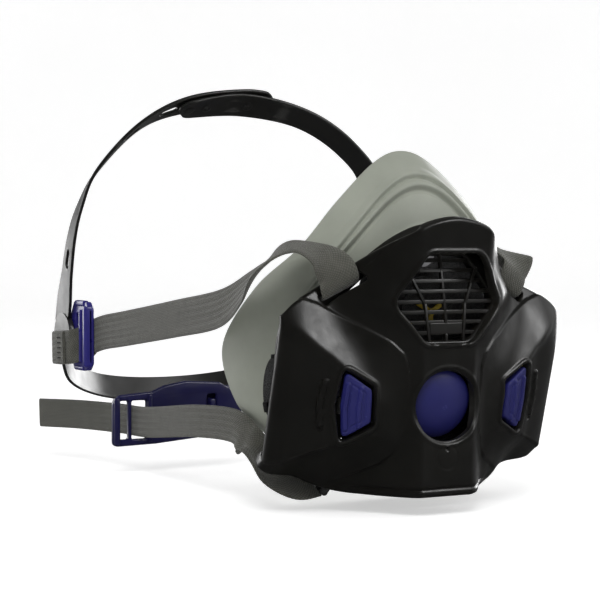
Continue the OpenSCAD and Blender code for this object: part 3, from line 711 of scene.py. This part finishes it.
def exhaust_grille():
    """Louvres behind two bent ribs and a centre rib, a blank plate, and the liner of the opening."""
    parts = []
    back, front = NOSE_FACE + 2.2, NOSE_FACE + 1.2
    for k in range(LOUVRES):
        z = LOUVRE_Z + k * LOUVRE_PITCH
        half = np.interp(z, [23, 37.6, 55.5], [9.8, 22.6, 11]) - 0.6
        parts.append(bar((-half, back, z), (half, back, z), (0, 0, 1), LOUVRE_H, LOUVRE_DEEP, 0.3))

    def rib(x0, z0, x1, z1):
        parts.append(bar((x0, front, z0), (x1, front, z1), (1, 0, 0), RIB_W, RIB_DEEP, RIB_EASE))
    for side in (-1, 1):
        rib(side * 7.2, 23.3, side * 8.5, 37 + 0.3)
        rib(side * 8.5, 37, side * 14.9, 50.2 + 0.3)
    rib(0, 23.2, 0, 26.4)
    rib(0, 30.2, 0, 55.3)
    plate_p, plate_f = flat_plate(round_rect(13.8, 4.2, 0.6, 8), [], 1.2, 0.3)
    plate_p = columns(plate_p[:, 0], front - plate_p[:, 2], plate_p[:, 1] + 28.3)
    parts.append((plate_p, plate_f))
    liner = dense(grille_outline, 1.0)
    middle = liner.mean(0)
    rows = []
    for inwards, depth in [(0.0, 0.2), (0.0, 4.5), (1.1, 4.5), (0.9, 0.9), (0.5, 0.35)]:
        ring = liner + inwards * unit(middle - liner)
        rows.append(np.insert(ring, 1, NOSE_FACE + depth, axis=1))
    p = np.stack(rows, axis=1)
    quads = grid_faces(*p.shape[:2], closed=True, ring=True)[:, [0, 3, 2, 1]]
    parts.append((p.reshape(-1, 3), quads.tolist()))
    points, faces = merge(*parts)
    points[:, 1] += lean(points[:, 2])
    place("exhaust_grille", points, faces, GRILLE, "mask")


TILT = math.radians(104)


def on_button(p):
    """From the button's own frame, with Z out of its dome, to the front frame."""
    p = np.asarray(p, float)
    return columns(p[:, 0], p[:, 1] * math.cos(TILT) - p[:, 2] * math.sin(TILT),
                     p[:, 1] * math.sin(TILT) + p[:, 2] * math.cos(TILT))


def seal_check_button():
    """Dome of radius r that stands top proud, curved as a ball and eased at its edge, on its stem."""
    r, top, ball, ease = 12.8, 2.3, 23.5, 1.1
    crown = [(t, top - ball + math.sqrt(ball * ball - t * t)) for t in np.linspace(0.01, r - ease, 18)]
    edge = crown[-1][1]
    shoulder = [(r - ease + ease * math.sin(a), edge - 0.25 - ease + ease * math.cos(a))
                for a in np.linspace(0.35, 1.57, 7)]
    stem = [(2.6, -3.7), (2.5, -4.0), (2.5, -12.7), (0.01, -12.7)]
    profile = crown + shoulder + [(r, -3.4), (r - 0.3, -3.7)] + stem
    points, faces = revolve(profile, 128)
    place("seal_check_button", on_button(points), flipped(faces), BLUE, "seal_check")


# ---- curves round the body
def full_turn(knots, u):
    """Closed curve from a half one, listed from the nose down the left to the chin; u runs 0 to 20."""
    k = np.array(knots, float)
    flip = np.array([-1, 1, 1])
    whole = np.concatenate([k[1:2] * flip, k, k[-2:-1] * flip])
    half = len(k) - 1
    u = np.asarray(u, float) % (2 * half)
    folded = np.where(u <= half, u, 2 * half - u)
    p = spline(whole, folded + 1)
    return np.where((u <= half)[:, None], p, p * flip)


PERIMETER = [(0, 8.5, 66.5), (-15, 9.2, 62), (-31, 14, 50), (-47, 16.5, 39.5), (-58, 17, 31), (-58.5, 22, 8),
             (-57.5, 28.5, -17), (-45, 29, -22.5), (-31, 22, -30), (-15, 14.5, -31), (0, 12.5, -31)]
SEAL_FRONT = [(0, 11, 64.3), (-12, 12, 60.5), (-26, 16, 48), (-36, 27, 35), (-40, 35, 23), (-41, 39, 6),
              (-39, 39, -9), (-32, 36, -17), (-22, 29, -23), (-11, 23, -26), (0, 21, -27)]
FACE_EDGE = [(0, 29, 94.3), (-12, 28.5, 90), (-28.5, 28, 75), (-42, 32, 58), (-51.5, 50, 42.5), (-55, 71, 20),
             (-52.5, 65, -1), (-45, 55, -13), (-34, 49, -26), (-17, 46, -35), (0, 45, -38)]
TURN = 20
PORT_AT = np.array([-50, 29.5, 6])
PORT_AXIS = unit(np.array([-1.0, 1.0, 0]))
PORT_HOLE_R = 11.35


def rear_housing():
    rows, cols = 360, 26
    u = np.arange(rows) * TURN / rows
    s = np.linspace(0, 1, cols)[None, :, None]
    a, b = full_turn(PERIMETER, u)[:, None], full_turn(SEAL_FRONT, u)[:, None]
    p = a * (1 - s) + b * s
    n = grid_normals(p, closed=True)
    flip = (((p - np.array([0, 30, 15])) * n).sum() < 0)
    n = -n if flip else n
    p = p + n * (0.5 * np.sin(np.pi * s) - edge_round(np.minimum(s, 1 - s) * 18, 1.0))
    faces = grid_faces(rows, cols, closed=True)
    faces = faces[:, ::-1] if flip else faces
    p, n = p.reshape(-1, 3), n.reshape(-1, 3)
    for sx in (1, -1):
        axis = PORT_AXIS * np.array([sx, 1, 1])
        rel = p - PORT_AT * np.array([sx, 1, 1])
        along = rel @ axis
        radial = rel - along[:, None] * axis
        r = np.linalg.norm(radial, axis=1)
        inside = (r < PORT_HOLE_R) & (along > -12)
        faces = faces[~np.all(inside[faces], axis=1)]
        rimmed = inside & np.isin(np.arange(len(p)), faces)
        p = np.where(rimmed[:, None], p + radial * (PORT_HOLE_R / np.maximum(r, 1e-6) - 1)[:, None], p)
    n, _ = compact(n, faces)
    p, faces = compact(p, faces)
    points, faces = thick(p, n, faces, 1.8)
    place("rear_housing", points, clean_faces(faces), SHELL, "mask", sharp=50)


OPENING = np.array([0, 58, 20])
SEAL_T = 2.0
PLEATS = ([(0, 0.60), (1, 0.56), (2, 0.46), (2.8, 0.40)], [(0, 0.46), (1, 0.43), (2, 0.36), (2.8, 0.33)])


def seal_relief(u, s):
    """Height of the seal's moulded pleats over the nose, and of the bead along its front edge."""
    nearest = np.minimum(u, TURN - u)
    h = np.zeros(np.broadcast(u, s).shape)
    for table in PLEATS:
        line = rounded(table, 0.4)(nearest)
        d = s - line
        amount = 1.5 * (1 - smooth(2.2, 3.3, nearest))
        fold = smooth(-0.045, 0.0, d) * (1 - smooth(0.0, 0.16, d))
        h += amount * (fold - 0.35 * band(d, -0.05, 0.005, 0.03))
    return h + 0.6 * (1 - smooth(0.02, 0.07, s))


def face_seal():
    rows, body_cols, lip_cols = 320, 84, 34
    u = (np.arange(rows) * TURN / rows)[:, None, None]
    a = full_turn(SEAL_FRONT, u.ravel())[:, None]
    e = full_turn(FACE_EDGE, u.ravel())[:, None]
    s = np.linspace(0.01, 1, body_cols)[None, :, None]
    p = a * (1 - s) + e * s
    away = unit((p - np.array([0, 0, 22])) * np.array([1, 0, 1]))
    swell = np.sin(np.pi * s)
    body = p - np.array([0, 3, 0]) * swell + away * 2.5 * swell
    t = np.linspace(0, 1, lip_cols + 1)[None, 1:, None]
    roll = np.sin(np.pi / 2 * t) * (1 - t)
    lip = e * (1 - 0.24 * t) + OPENING * 0.24 * t + np.array([0, 3, 0]) * roll
    p = np.concatenate([body, lip], axis=1)
    first, last = body_cols - 4, body_cols + 5
    for _ in range(3):
        p[:, first:last] = (p[:, first - 1:last - 1] + p[:, first:last] + p[:, first + 1:last + 1]) / 3
    n = grid_normals(p, closed=True)
    flip = ((body - np.array([0, 45, 20])) * n[:, :body_cols]).sum() < 0
    n = -n if flip else n
    relief = np.zeros(p.shape[:2])
    relief[:, :body_cols] = seal_relief(u[..., 0], s[..., 0])
    p = p + n * relief[..., None]
    n = grid_normals(p, closed=True) * (-1 if flip else 1)
    faces = grid_faces(rows, p.shape[1], closed=True)
    faces = faces[:, ::-1] if flip else faces
    taper = np.ones(p.shape[1])
    taper[-12:] = np.linspace(1, 0.35, 12)
    q = p - n * (SEAL_T * taper)[None, :, None]
    count = rows * p.shape[1]
    points, faces = thick(p.reshape(-1, 3), (p - q).reshape(-1, 3), faces, 1.0)
    place("face_seal", points[:2 * count], clean_faces(faces), SILICONE, "mask", sharp=60)


# ---- straps and bands
def path_frames(knots, step):
    """Points, width directions, face directions and lengths along knots of (place, width direction)."""
    places, widths = np.array([k[0] for k in knots], float), np.array([k[1] for k in knots], float)
    fine = np.linspace(0, len(knots) - 1, 60 * len(knots))
    walk = np.concatenate([[0], np.cumsum(np.linalg.norm(np.diff(spline(places, fine), axis=0), axis=1))])
    n = max(4, int(walk[-1] / step))
    u = np.interp(np.linspace(0, walk[-1], n), walk, fine)
    p = spline(places, u)
    for _ in range(3):
        p[1:-1] = (p[:-2] + 2 * p[1:-1] + p[2:]) / 4
    along = unit(np.gradient(p, axis=0))
    raw = spline(widths, u)
    w = unit(raw - along * (raw * along).sum(1, keepdims=True))
    return p, w, np.cross(along, w), np.linspace(0, walk[-1], n)


def strap(knots, width, t, step=0.55, pitch=1.1):
    """Webbing along knots, with crosswise ribs and scalloped edges, as (points, faces, uv)."""
    p, w, n, s = path_frames(knots, step)
    across = np.linspace(-1, 1, 33)
    ones = np.ones_like(across)
    ring = np.concatenate([columns(across, ones), columns(across[::-1], -ones)])
    cord = np.floor(ring[:, 0] * width / 2 / 1.24 + 0.5)
    rib = np.sin(2 * np.pi * (s[:, None] / pitch + 0.5 * (cord[None, :] % 2)))
    edge = 1 - np.abs(ring[:, 0]) ** 14 * 0.75
    half = t / 2 * edge[None, :] * (1 + 0.09 * rib)
    side = width / 2 * (1 - 0.012 * (1 + np.sin(2 * np.pi * s / pitch)))[:, None] * ring[None, :, 0]
    profile = np.stack([side, half * ring[None, :, 1]], axis=-1)
    points, faces = sweep(p, w, n, profile)
    uv = np.stack(np.broadcast_arrays(s[:, None], ring[None, :, 0] * width / 2), axis=-1).reshape(-1, 2)
    return points, faces, uv


def merge_uv(*parts):
    points, faces = merge(*[(p, f) for p, f, _ in parts])
    return points, faces, np.concatenate([uv for _, _, uv in parts])


HEAD_W, NECK_W, STRAP_T = 15.0, 13.0, 1.2
# Knots of the left head strap as (place, direction of its width); the right one mirrors its ends
HEAD_ROOT = [((-35.6, 14.6, 41.6), (-.74, .40, -.54)), ((-36.6, 10.9, 43.6), (-.76, .36, -.54))]
HEAD_BEND = {
    "left": [((-38.6, 9.6, 48.8), (-.78, .3, -.53)), ((-43, 13.2, 55), (-.61, -.45, -.42)),
             ((-52, 19.5, 58), (-.37, -.88, -.25)), ((-60.5, 25, 51), (-.73, -.61, -.3)),
             ((-61.5, 38, 42.5), (-.45, -.4, -.8)), ((-62, 58, 34.5), (-.15, -.3, -.94))],
    "right": [((38.7, 9.6, 49.2), (.8, .25, -.53)), ((42, 15.5, 55), (.86, -.46, -.2)),
              ((48.4, 28, 51.4), (.5, -.35, -.79)), ((53, 43, 45), (.35, -.25, -.88)),
              ((57, 62, 37), (.2, -.2, -.95))]}
HEAD_TAIL = [((-61.5, 100, 29), (0, -.1, -.99)), ((-61.5, 150, 23), (0, -.1, -.99)),
             ((-61.8, 172, 20.5), (0, -.1, -.99)), ((-62.4, 182, 18.6), (0, -.1, -.99)),
             ((-62.9, 186, 17.2), (0, -.1, -.99)), ((-65.2, 190.5, 14.6), (.05, 0, -.99)),
             ((-69.0, 194, 13.2), (.05, 0, -.99)), ((-70.2, 199, 12.6), (0, .02, -1)),
             ((-70.4, 205, 12.2), (0, .05, -1)), ((-70.2, 211, 12.0), (0, .08, -1))]
FOLD = [((-71.5, 197.5, 12.7), (0, .02, -1)), ((-71.7, 204, 12.3), (0, .05, -1)),
        ((-71.5, 210.6, 12.0), (0, .08, -1))]


def flip_path(path):
    return [((-p[0], p[1], p[2]), (-w[0], w[1], w[2])) for p, w in path]


def stitches(path, side):
    """Bar tacks of dark thread on the folded end: five across, in two rows."""
    p, w, n, s = path_frames(path, 0.5)
    parts = []
    for row in (3.2, 5.2):
        k = int(np.argmin(np.abs(s - row)))
        out = n[k] if n[k][0] * side > 0 else -n[k]
        for t in np.linspace(-4.4, 4.4, 5):
            mid = p[k] + w[k] * t + out * 0.62
            along = p[k + 1] - p[k - 1]
            parts.append(bar(mid - unit(along) * 0.8, mid + unit(along) * 0.8, w[k], 0.55, 0.5, 0.2))
    return merge(*parts)


def head_strap(side):
    sx = -1 if side == "left" else 1
    turn = (lambda k: k) if side == "left" else flip_path
    path = turn(HEAD_ROOT) + HEAD_BEND[side] + turn(HEAD_TAIL)
    parts = [strap(path, HEAD_W, STRAP_T), strap(turn(FOLD), HEAD_W - 0.4, STRAP_T)]
    points, faces, uv = merge_uv(*parts)
    place(f"head_strap_{side}", points, faces, WEBBING, "head_straps", uv=uv)
    points, faces = stitches(turn(FOLD), sx)
    place(f"head_strap_stitches_{side}", points, faces, THREAD, "head_straps", added=True)


NECK_PATH = {
    "left": [((-34, 36, -31.5), (0, -.86, -.5)), ((-43.8, 35, -31.2), (.45, -.65, -.61)),
             ((-52.6, 38, -26.6), (-.18, -.82, -.53)), ((-54.2, 44, -19), (-.75, -.6, -.25)),
             ((-53.4, 52, -14.6), (-.3, -.4, -.85)), ((-54, 63, -10.5), (-.1, -.2, -.97)),
             ((-55, 95, -11.5), (0, 0, -1)), ((-54, 145, -16.5), (0, 0, -1)), ((-54, 175, -17.5), (0, 0, -1)),
             ((-61, 205, -18), (0, 0, -1)), ((-70, 232, -19), (0, 0, -1))],
    "right": [((34, 36, -31.8), (0, -.86, -.5)), ((41, 39, -28), (-.2, -.75, -.62)),
              ((49, 46, -23), (.15, -.75, -.62)), ((55, 60, -15), (.05, -.2, -.98)),
              ((56, 95, -11.5), (0, 0, -1)), ((50, 135, -15.5), (0, 0, -1)), ((34, 160, -16.5), (0, 0, -1)),
              ((14, 165, -16.5), (0, 0, -1))]}


def neck_straps():
    for side, path in NECK_PATH.items():
        points, faces, uv = strap(path, NECK_W, STRAP_T)
        place(f"neck_strap_{side}", points, faces, WEBBING, f"neck_strap_{side}", uv=uv)


HEAD_MIDDLE = np.array([0, 100, 70.0])
CROWN = {
    "left": [((-67.3, 211, 20), (0, 1, 0)), ((-67.6, 206, 35), (0, 1, .1)),
             ((-68.3, 196, 60), (.12, .98, .12)), ((-66.5, 188.5, 76), (.25, .95, .1)),
             ((-61, 182, 91), (.4, .91, .03)), ((-46, 172, 109.3), (.38, .9, -.12)),
             ((-26, 167, 118.8), (.25, .83, -.5)), ((0, 165, 121.5), (0, .65, -.76)),
             ((15, 164.5, 120.3), (-.15, .65, -.75))],
    "right": [((67.3, 211, 20), (0, 1, 0)), ((70, 203, 36), (-.05, 1, .2)), ((71, 187, 58), (-.3, .95, .2)),
              ((67, 167, 84), (-.47, .88, 0)), ((51, 161, 101), (-.47, .85, -.2)),
              ((29, 162, 114), (-.3, .8, -.5)), ((0, 164.1, 119.5), (0, .65, -.76)),
              ((-26, 166, 116.7), (.25, .83, -.5)), ((-29.5, 166.3, 115.4), (.26, .84, -.47))]}
NAPE = [(-66.5, 213, 12), (-58, 226, 0), (-38, 242, -8), (-14, 249, -11.5), (14, 249, -11.5), (38, 242, -8),
        (58, 226, 0), (66.5, 213, 12)]
BAND_W, BAND_T = 12.0, 1.4


def on_head(path):
    """Knots of a band that lies on the head, with the directions of its width."""
    k = np.array(path, float)
    along = np.concatenate([k[1:2] - k[0:1], k[2:] - k[:-2], k[-1:] - k[-2:-1]])
    return list(zip(k, unit(np.cross(along, unit(k - HEAD_MIDDLE)))))


def stadium(cx, half_l, half_w, steps=10):
    """Outline of a slot with round ends along X."""
    return np.array([(cx + half_l - half_w + x, y) for x, y in arc((0, 0), half_w, -90, 90, steps)]
                    + [(cx - half_l + half_w + x, y) for x, y in arc((0, 0), half_w, 90, 270, steps)])


def bent_plate(path, outline, holes, t, bevel):
    """A flat plate, X along and Y across, bent to lie along path."""
    p, w, n, s = path_frames(path, 0.8)
    points, faces = cut_across(*flat_plate(outline, holes, t, bevel), 2.0)
    at = np.clip(points[:, 0], 0, s[-1])

    def track(values):
        return columns(*(np.interp(at, s, values[:, k]) for k in range(3)))
    bent = track(p) + track(w) * points[:, 1:2] + track(n) * points[:, 2:3]
    return bent, faces


def band_outline(length, half, hub=0.0, hub_l=14.0):
    """Outline of a band from x 0 to length, with a round far end and an optional wider start."""
    end = [(length - half + x, y) for x, y in arc((0, 0), half, -90, 90, 12)]
    wide = half + hub
    start = [(hub_l + 12, half), (hub_l, wide), (2.5, wide), (0, wide - 3), (0, -wide + 3), (2.5, -wide),
             (hub_l, -wide), (hub_l + 12, -half)]
    return np.array(end + (start if hub else [(0, half), (0, -half)]))


CROWN_SLOTS = {"left": (33.5, 99.0, 118.0), "right": (33.5,)}
PEG_MARKS = ((156.5, 1.0), (175.6, 1.0), (184.0, 0.0))


def crown_marks(knots):
    """Low raised rings on the side of the band that faces the head, some with a dimple."""
    p, w, n, s = path_frames(knots, 0.8)
    parts = []
    for where, dimple in PEG_MARKS:
        k = int(np.argmin(np.abs(s - where)))
        inner = -n[k] if n[k] @ (p[k] - HEAD_MIDDLE) > 0 else n[k]
        along = np.cross(w[k], inner)
        low = 0.28 - 0.26 * dimple
        profile = [(0.01, low), (0.8, low), (1.2, 0.28), (1.9, 0.28), (2.4, 0.02), (2.4, -0.2), (0.01, -0.2)]
        ring, faces = revolve(profile, 40)
        ring = p[k] + ring[:, :1] * along + ring[:, 1:2] * w[k] + (ring[:, 2:] + BAND_T / 2) * inner
        parts.append((ring, faces))
    return parts


def crown_bands():
    for side, knots in CROWN.items():
        length = path_frames(knots, 0.8)[3][-1]
        outline = dense(band_outline(length, BAND_W / 2, 1.6), 3.0)
        holes = [stadium(x, 4.2, 1.9) for x in CROWN_SLOTS[side]]
        parts = [bent_plate(knots, outline, holes, BAND_T, 0.45)]
        if side == "right":
            parts += crown_marks(knots)
        points, faces = merge(*parts)
        place(f"crown_band_{side}", points, faces, CRADLE, "cradle")


def nape_band():
    knots = on_head(NAPE)
    length = path_frames(knots, 0.8)[3][-1]
    half = BAND_W / 2
    outline = dense(np.array([(0, -half), (length, -half), (length, half), (0, half)]), 3.0)
    points, faces = bent_plate(knots, outline, [], BAND_T, 0.45)
    place("nape_band", points, faces, CRADLE, "cradle")


CRADLE_PIVOT = np.array([-64.5, 208, 18])


def head_buckle(side):
    """Ladder buckle in the plane of Y and Z, with a thick front bar, a centre bar and a pin eye."""
    upper = [(-26, 12), (-23, 15), (-8, 15), (-4.5, 10), (-1, 5), (4.4, 3.4)]
    outline = round_corners([(-26, -12)] + upper + [(x, -y) for x, y in upper[:0:-1]], 1.6, 5)
    holes = [box_outline(x, -9.6, x + 5, 9.6, 1.2) for x in (-22.9, -15.3)]
    plate_p, plate_f = flat_plate(outline, holes + [circle((0, 0), 2.15, steps=32)], 2.6, 0.6)
    front = bar((-24.3, -13.2, -1.1), (-24.3, 13.2, -1.1), (1, 0, 0), 3.4, 4.4, 1.2)
    ridge = bar((-17.0, -11.5, -0.9), (-17.0, 11.5, -0.9), (1, 0, 0), 2.2, 3.0, 0.9)
    top = bar((-21, 14.2, -0.5), (-10, 14.2, -0.5), (0, 1, 0), 2.6, 2.8, 0.9)
    low = bar((-20, -14.2, -0.4), (-9, -14.2, -0.4), (0, 1, 0), 2.2, 2.8, 0.9)
    points, faces = merge((plate_p, plate_f), front, ridge, top, low)
    placed = CRADLE_PIVOT + columns(points[:, 2], points[:, 0], points[:, 1])
    if side == "right":
        placed, faces = mirrored(placed), flipped(faces)
    place(f"head_buckle_{side}", placed, faces, BUCKLE_BLUE, "head_straps")


CLASP_Y = 160


def neck_clasp():
    """Hook plate on the near strap, with a ladder ring and a curved tab, and the loop it hooks over."""
    outline = round_corners([(-64, -28), (-64, -9), (-61, -6), (-46, -5), (-40, -2.6), (-30, -1), (-14, -2),
                             (-4, -8), (-4, -20), (-14, -25), (-44, -27.5)], 2.5, 6)
    holes = [box_outline(-61, -25, -57, -8.5, 1), box_outline(-55.5, -25, -48.5, -8.5, 1),
             box_outline(-20, -19, -15.5, -7, 1)]
    plate_p, plate_f = flat_plate(outline, holes, 3.0, 0.8)
    rails = [bar((-62.4, -27, -0.8), (-62.4, -7.2, -0.8), (1, 0, 0), 2.6, 3.6, 1.0),
             bar((-47.2, -26.5, -0.8), (-47.2, -6, -0.8), (1, 0, 0), 2.0, 3.0, 0.8)]
    points, faces = merge((plate_p, plate_f), *rails)
    placed = columns(points[:, 0], CLASP_Y + points[:, 2], points[:, 1])
    place("neck_hook_plate", placed, flipped(faces), CLASP_BLUE, "neck_hook")
    hole = box_outline(-1, -20, 3, -6, 1)
    loop_p, loop_f = flat_plate(box_outline(-22, -22, 6, -4, 2.5, 6), [hole], 2.5, 0.7)
    loop_p = columns(loop_p[:, 0], CLASP_Y + 4.25 + loop_p[:, 2], loop_p[:, 1])
    tongue = bar((-17.9, CLASP_Y - 3, -13), (-17.9, CLASP_Y + 4, -13), (0, 0, 1), 8, 2.6, 0.7)
    points, faces = merge((loop_p, flipped(loop_f)), tongue)
    place("neck_loop", points, faces, CLASP_BLUE, "neck_strap_right")


# ---- CAD nodes that stay
KEPT = {
    INNER: ["inner_frame", "exhaust_valve_seat", "diaphragm_ring", "port_collar_left", "port_collar_right",
            "latch_hook_left", "latch_hook_right", "neck_strap_bars"],
    CRADLE: ["cradle_hub_left", "cradle_hub_right", "cradle_pegs"],
    STEEL: ["frame_screws", "seal_check_spring", "release_spring_left", "release_spring_right"],
    RUBBER: ["exhaust_seat_gasket", "exhaust_flap", "port_gasket_left", "port_gasket_right"],
    YELLOW: ["flap_retainer", "inhalation_flap_left", "inhalation_flap_right"],
    FILM: ["speech_diaphragm", "seal_check_shutter"],
}
BEVELLED = {0.3: ["port_collar_left", "port_collar_right", "exhaust_valve_seat", "latch_hook_left",
                  "latch_hook_right", "cradle_pegs", "frame_screws"],
            0.4: ["inner_frame", "neck_strap_bars"],
            0.5: ["cradle_hub_left", "cradle_hub_right"]}


def finish_cad_nodes():
    for material, names in KEPT.items():
        for name in names:
            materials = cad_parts[name].data.materials
            materials.clear()
            materials.append(material)
    for width, names in BEVELLED.items():
        for name in names:
            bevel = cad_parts[name].modifiers.new("soft_edges", "BEVEL")
            bevel.width = width * MM
            bevel.segments = 2
            bevel.limit_method = "ANGLE"
            bevel.angle_limit = math.radians(40)
            bevel.harden_normals = False


# ---- stage
def backdrop():
    """Round pale floor that rises into a low wall."""
    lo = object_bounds()[0]
    reach, rise, wall = 1.9, 0.9, 1.2
    profile = [(0.0, 0.0)] + [(reach * k / 12, 0.0) for k in range(1, 13)]
    profile += [(reach + rise * math.sin(a), rise * (1 - math.cos(a)))
                for a in np.linspace(0.1, math.pi / 2, 16)]
    profile += [(reach + rise, rise + wall)]
    points, faces = revolve([(max(r, 1e-3) * 1000, z * 1000) for r, z in profile], 96)
    mesh = bpy.data.meshes.new("floor")
    mesh.from_pydata((points * MM + np.array([0, 0.05, lo[2] - 0.002])).tolist(), [], faces.tolist())
    mesh.shade_smooth()
    m, tree, bsdf = node_material("pale_floor")
    coords = add(tree, "ShaderNodeTexCoord").outputs["Object"]
    tone = stretch(tree, noise(tree, coords, 3.0), 0.3, 0.7)
    pale = mix_colour(tree, tone, (0.85, 0.85, 0.85), (0.88, 0.88, 0.88))
    path = add(tree, "ShaderNodeLightPath")
    seen = mix_colour(tree, path.outputs["Is Glossy Ray"], pale, (0.12, 0.12, 0.12))
    glow = stretch(tree, path.outputs["Is Camera Ray"], 0, 1, 0.0, 0.50)
    put(tree, bsdf, Base_Color=seen, Roughness=0.9, Specular_IOR_Level=0.1, Emission_Color=(1, 1, 1, 1),
        Emission_Strength=glow)
    mesh.materials.append(m)
    obj = bpy.data.objects.new("floor", mesh)
    bpy.context.scene.collection.objects.link(obj)


def area_light(name, place_at, target, size, watts, glossy=True, diffuse=True):
    light = bpy.data.lights.new(name, "AREA")
    light.shape = "RECTANGLE"
    light.size, light.size_y = size
    light.energy = watts
    obj = bpy.data.objects.new(name, light)
    obj.location = place_at
    obj.rotation_euler = (Vector(target) - Vector(place_at)).to_track_quat("-Z", "Y").to_euler()
    obj.visible_camera, obj.visible_glossy, obj.visible_diffuse = False, glossy, diffuse
    bpy.context.scene.collection.objects.link(obj)


def lights():
    """Even white surroundings, dim in reflections, and soft rectangles of light."""
    world = bpy.data.worlds.new("studio")
    world.use_nodes = True
    tree = world.node_tree
    path = add(tree, "ShaderNodeLightPath")
    put(tree, tree.nodes["Background"], Color=(1, 1, 1, 1),
        Strength=stretch(tree, path.outputs["Is Glossy Ray"], 0, 1, 0.62, 0.10))
    bpy.context.scene.world = world
    middle = tuple(FRONT)
    # The key and side lights shape the soft parts; the others only draw highlights on the black plastic
    area_light("key", (-0.45, -0.70, 0.90), middle, (0.7, 0.5), 6, glossy=False)
    area_light("side", (0.9, -0.25, 0.25), middle, (0.35, 0.9), 1.5)
    area_light("nose", (0.50, -0.80, 0.62), middle, (0.26, 0.40), 5, diffuse=False)
    area_light("edge", (0.95, 0.62, 0.10), middle, (0.6, 0.9), 12, diffuse=False)
    area_light("band", (-0.62, 1.15, 0.20), (-0.06, 0.15, 0.10), (0.5, 0.8), 8, diffuse=False)


def colours():
    """Plain display colours, so that whites stay white and the blacks deep."""
    view = bpy.context.scene.view_settings
    view.view_transform, view.look = "Standard", "None"


def camera():
    """Camera low in front of the mask, 28 degrees round to its left, aimed past the button."""
    azimuth, elevation = math.radians(-28), math.radians(2)
    distance, right_of_button, above_button = 675.2 * MM, -51.75 * MM, 38.5 * MM
    level = math.cos(elevation)
    back = Vector((math.sin(azimuth) * level, -math.cos(azimuth) * level, math.sin(elevation)))
    right = Vector((math.cos(azimuth), math.sin(azimuth), 0))
    up = back.cross(right)
    data = bpy.data.cameras.new("camera")
    data.lens, data.sensor_width = 111.0, 36.0
    data.clip_start, data.clip_end = 0.05, 20
    obj = bpy.data.objects.new("camera", data)
    obj.location = Vector(FRONT) + back * distance + right * right_of_button + up * above_button
    obj.rotation_euler = Matrix((right, up, back)).transposed().to_euler()
    bpy.context.scene.collection.objects.link(obj)
    bpy.context.scene.camera = obj


# ---- the whole object
exhaust_grille()
release_button("left")
release_button("right")
seal_check_button()
rear_housing()
face_seal()
for each_side in ("left", "right"):
    head_strap(each_side)
    head_buckle(each_side)
neck_straps()
crown_bands()
nape_band()
neck_clasp()
finish_cad_nodes()
backdrop()
lights()
colours()
camera()
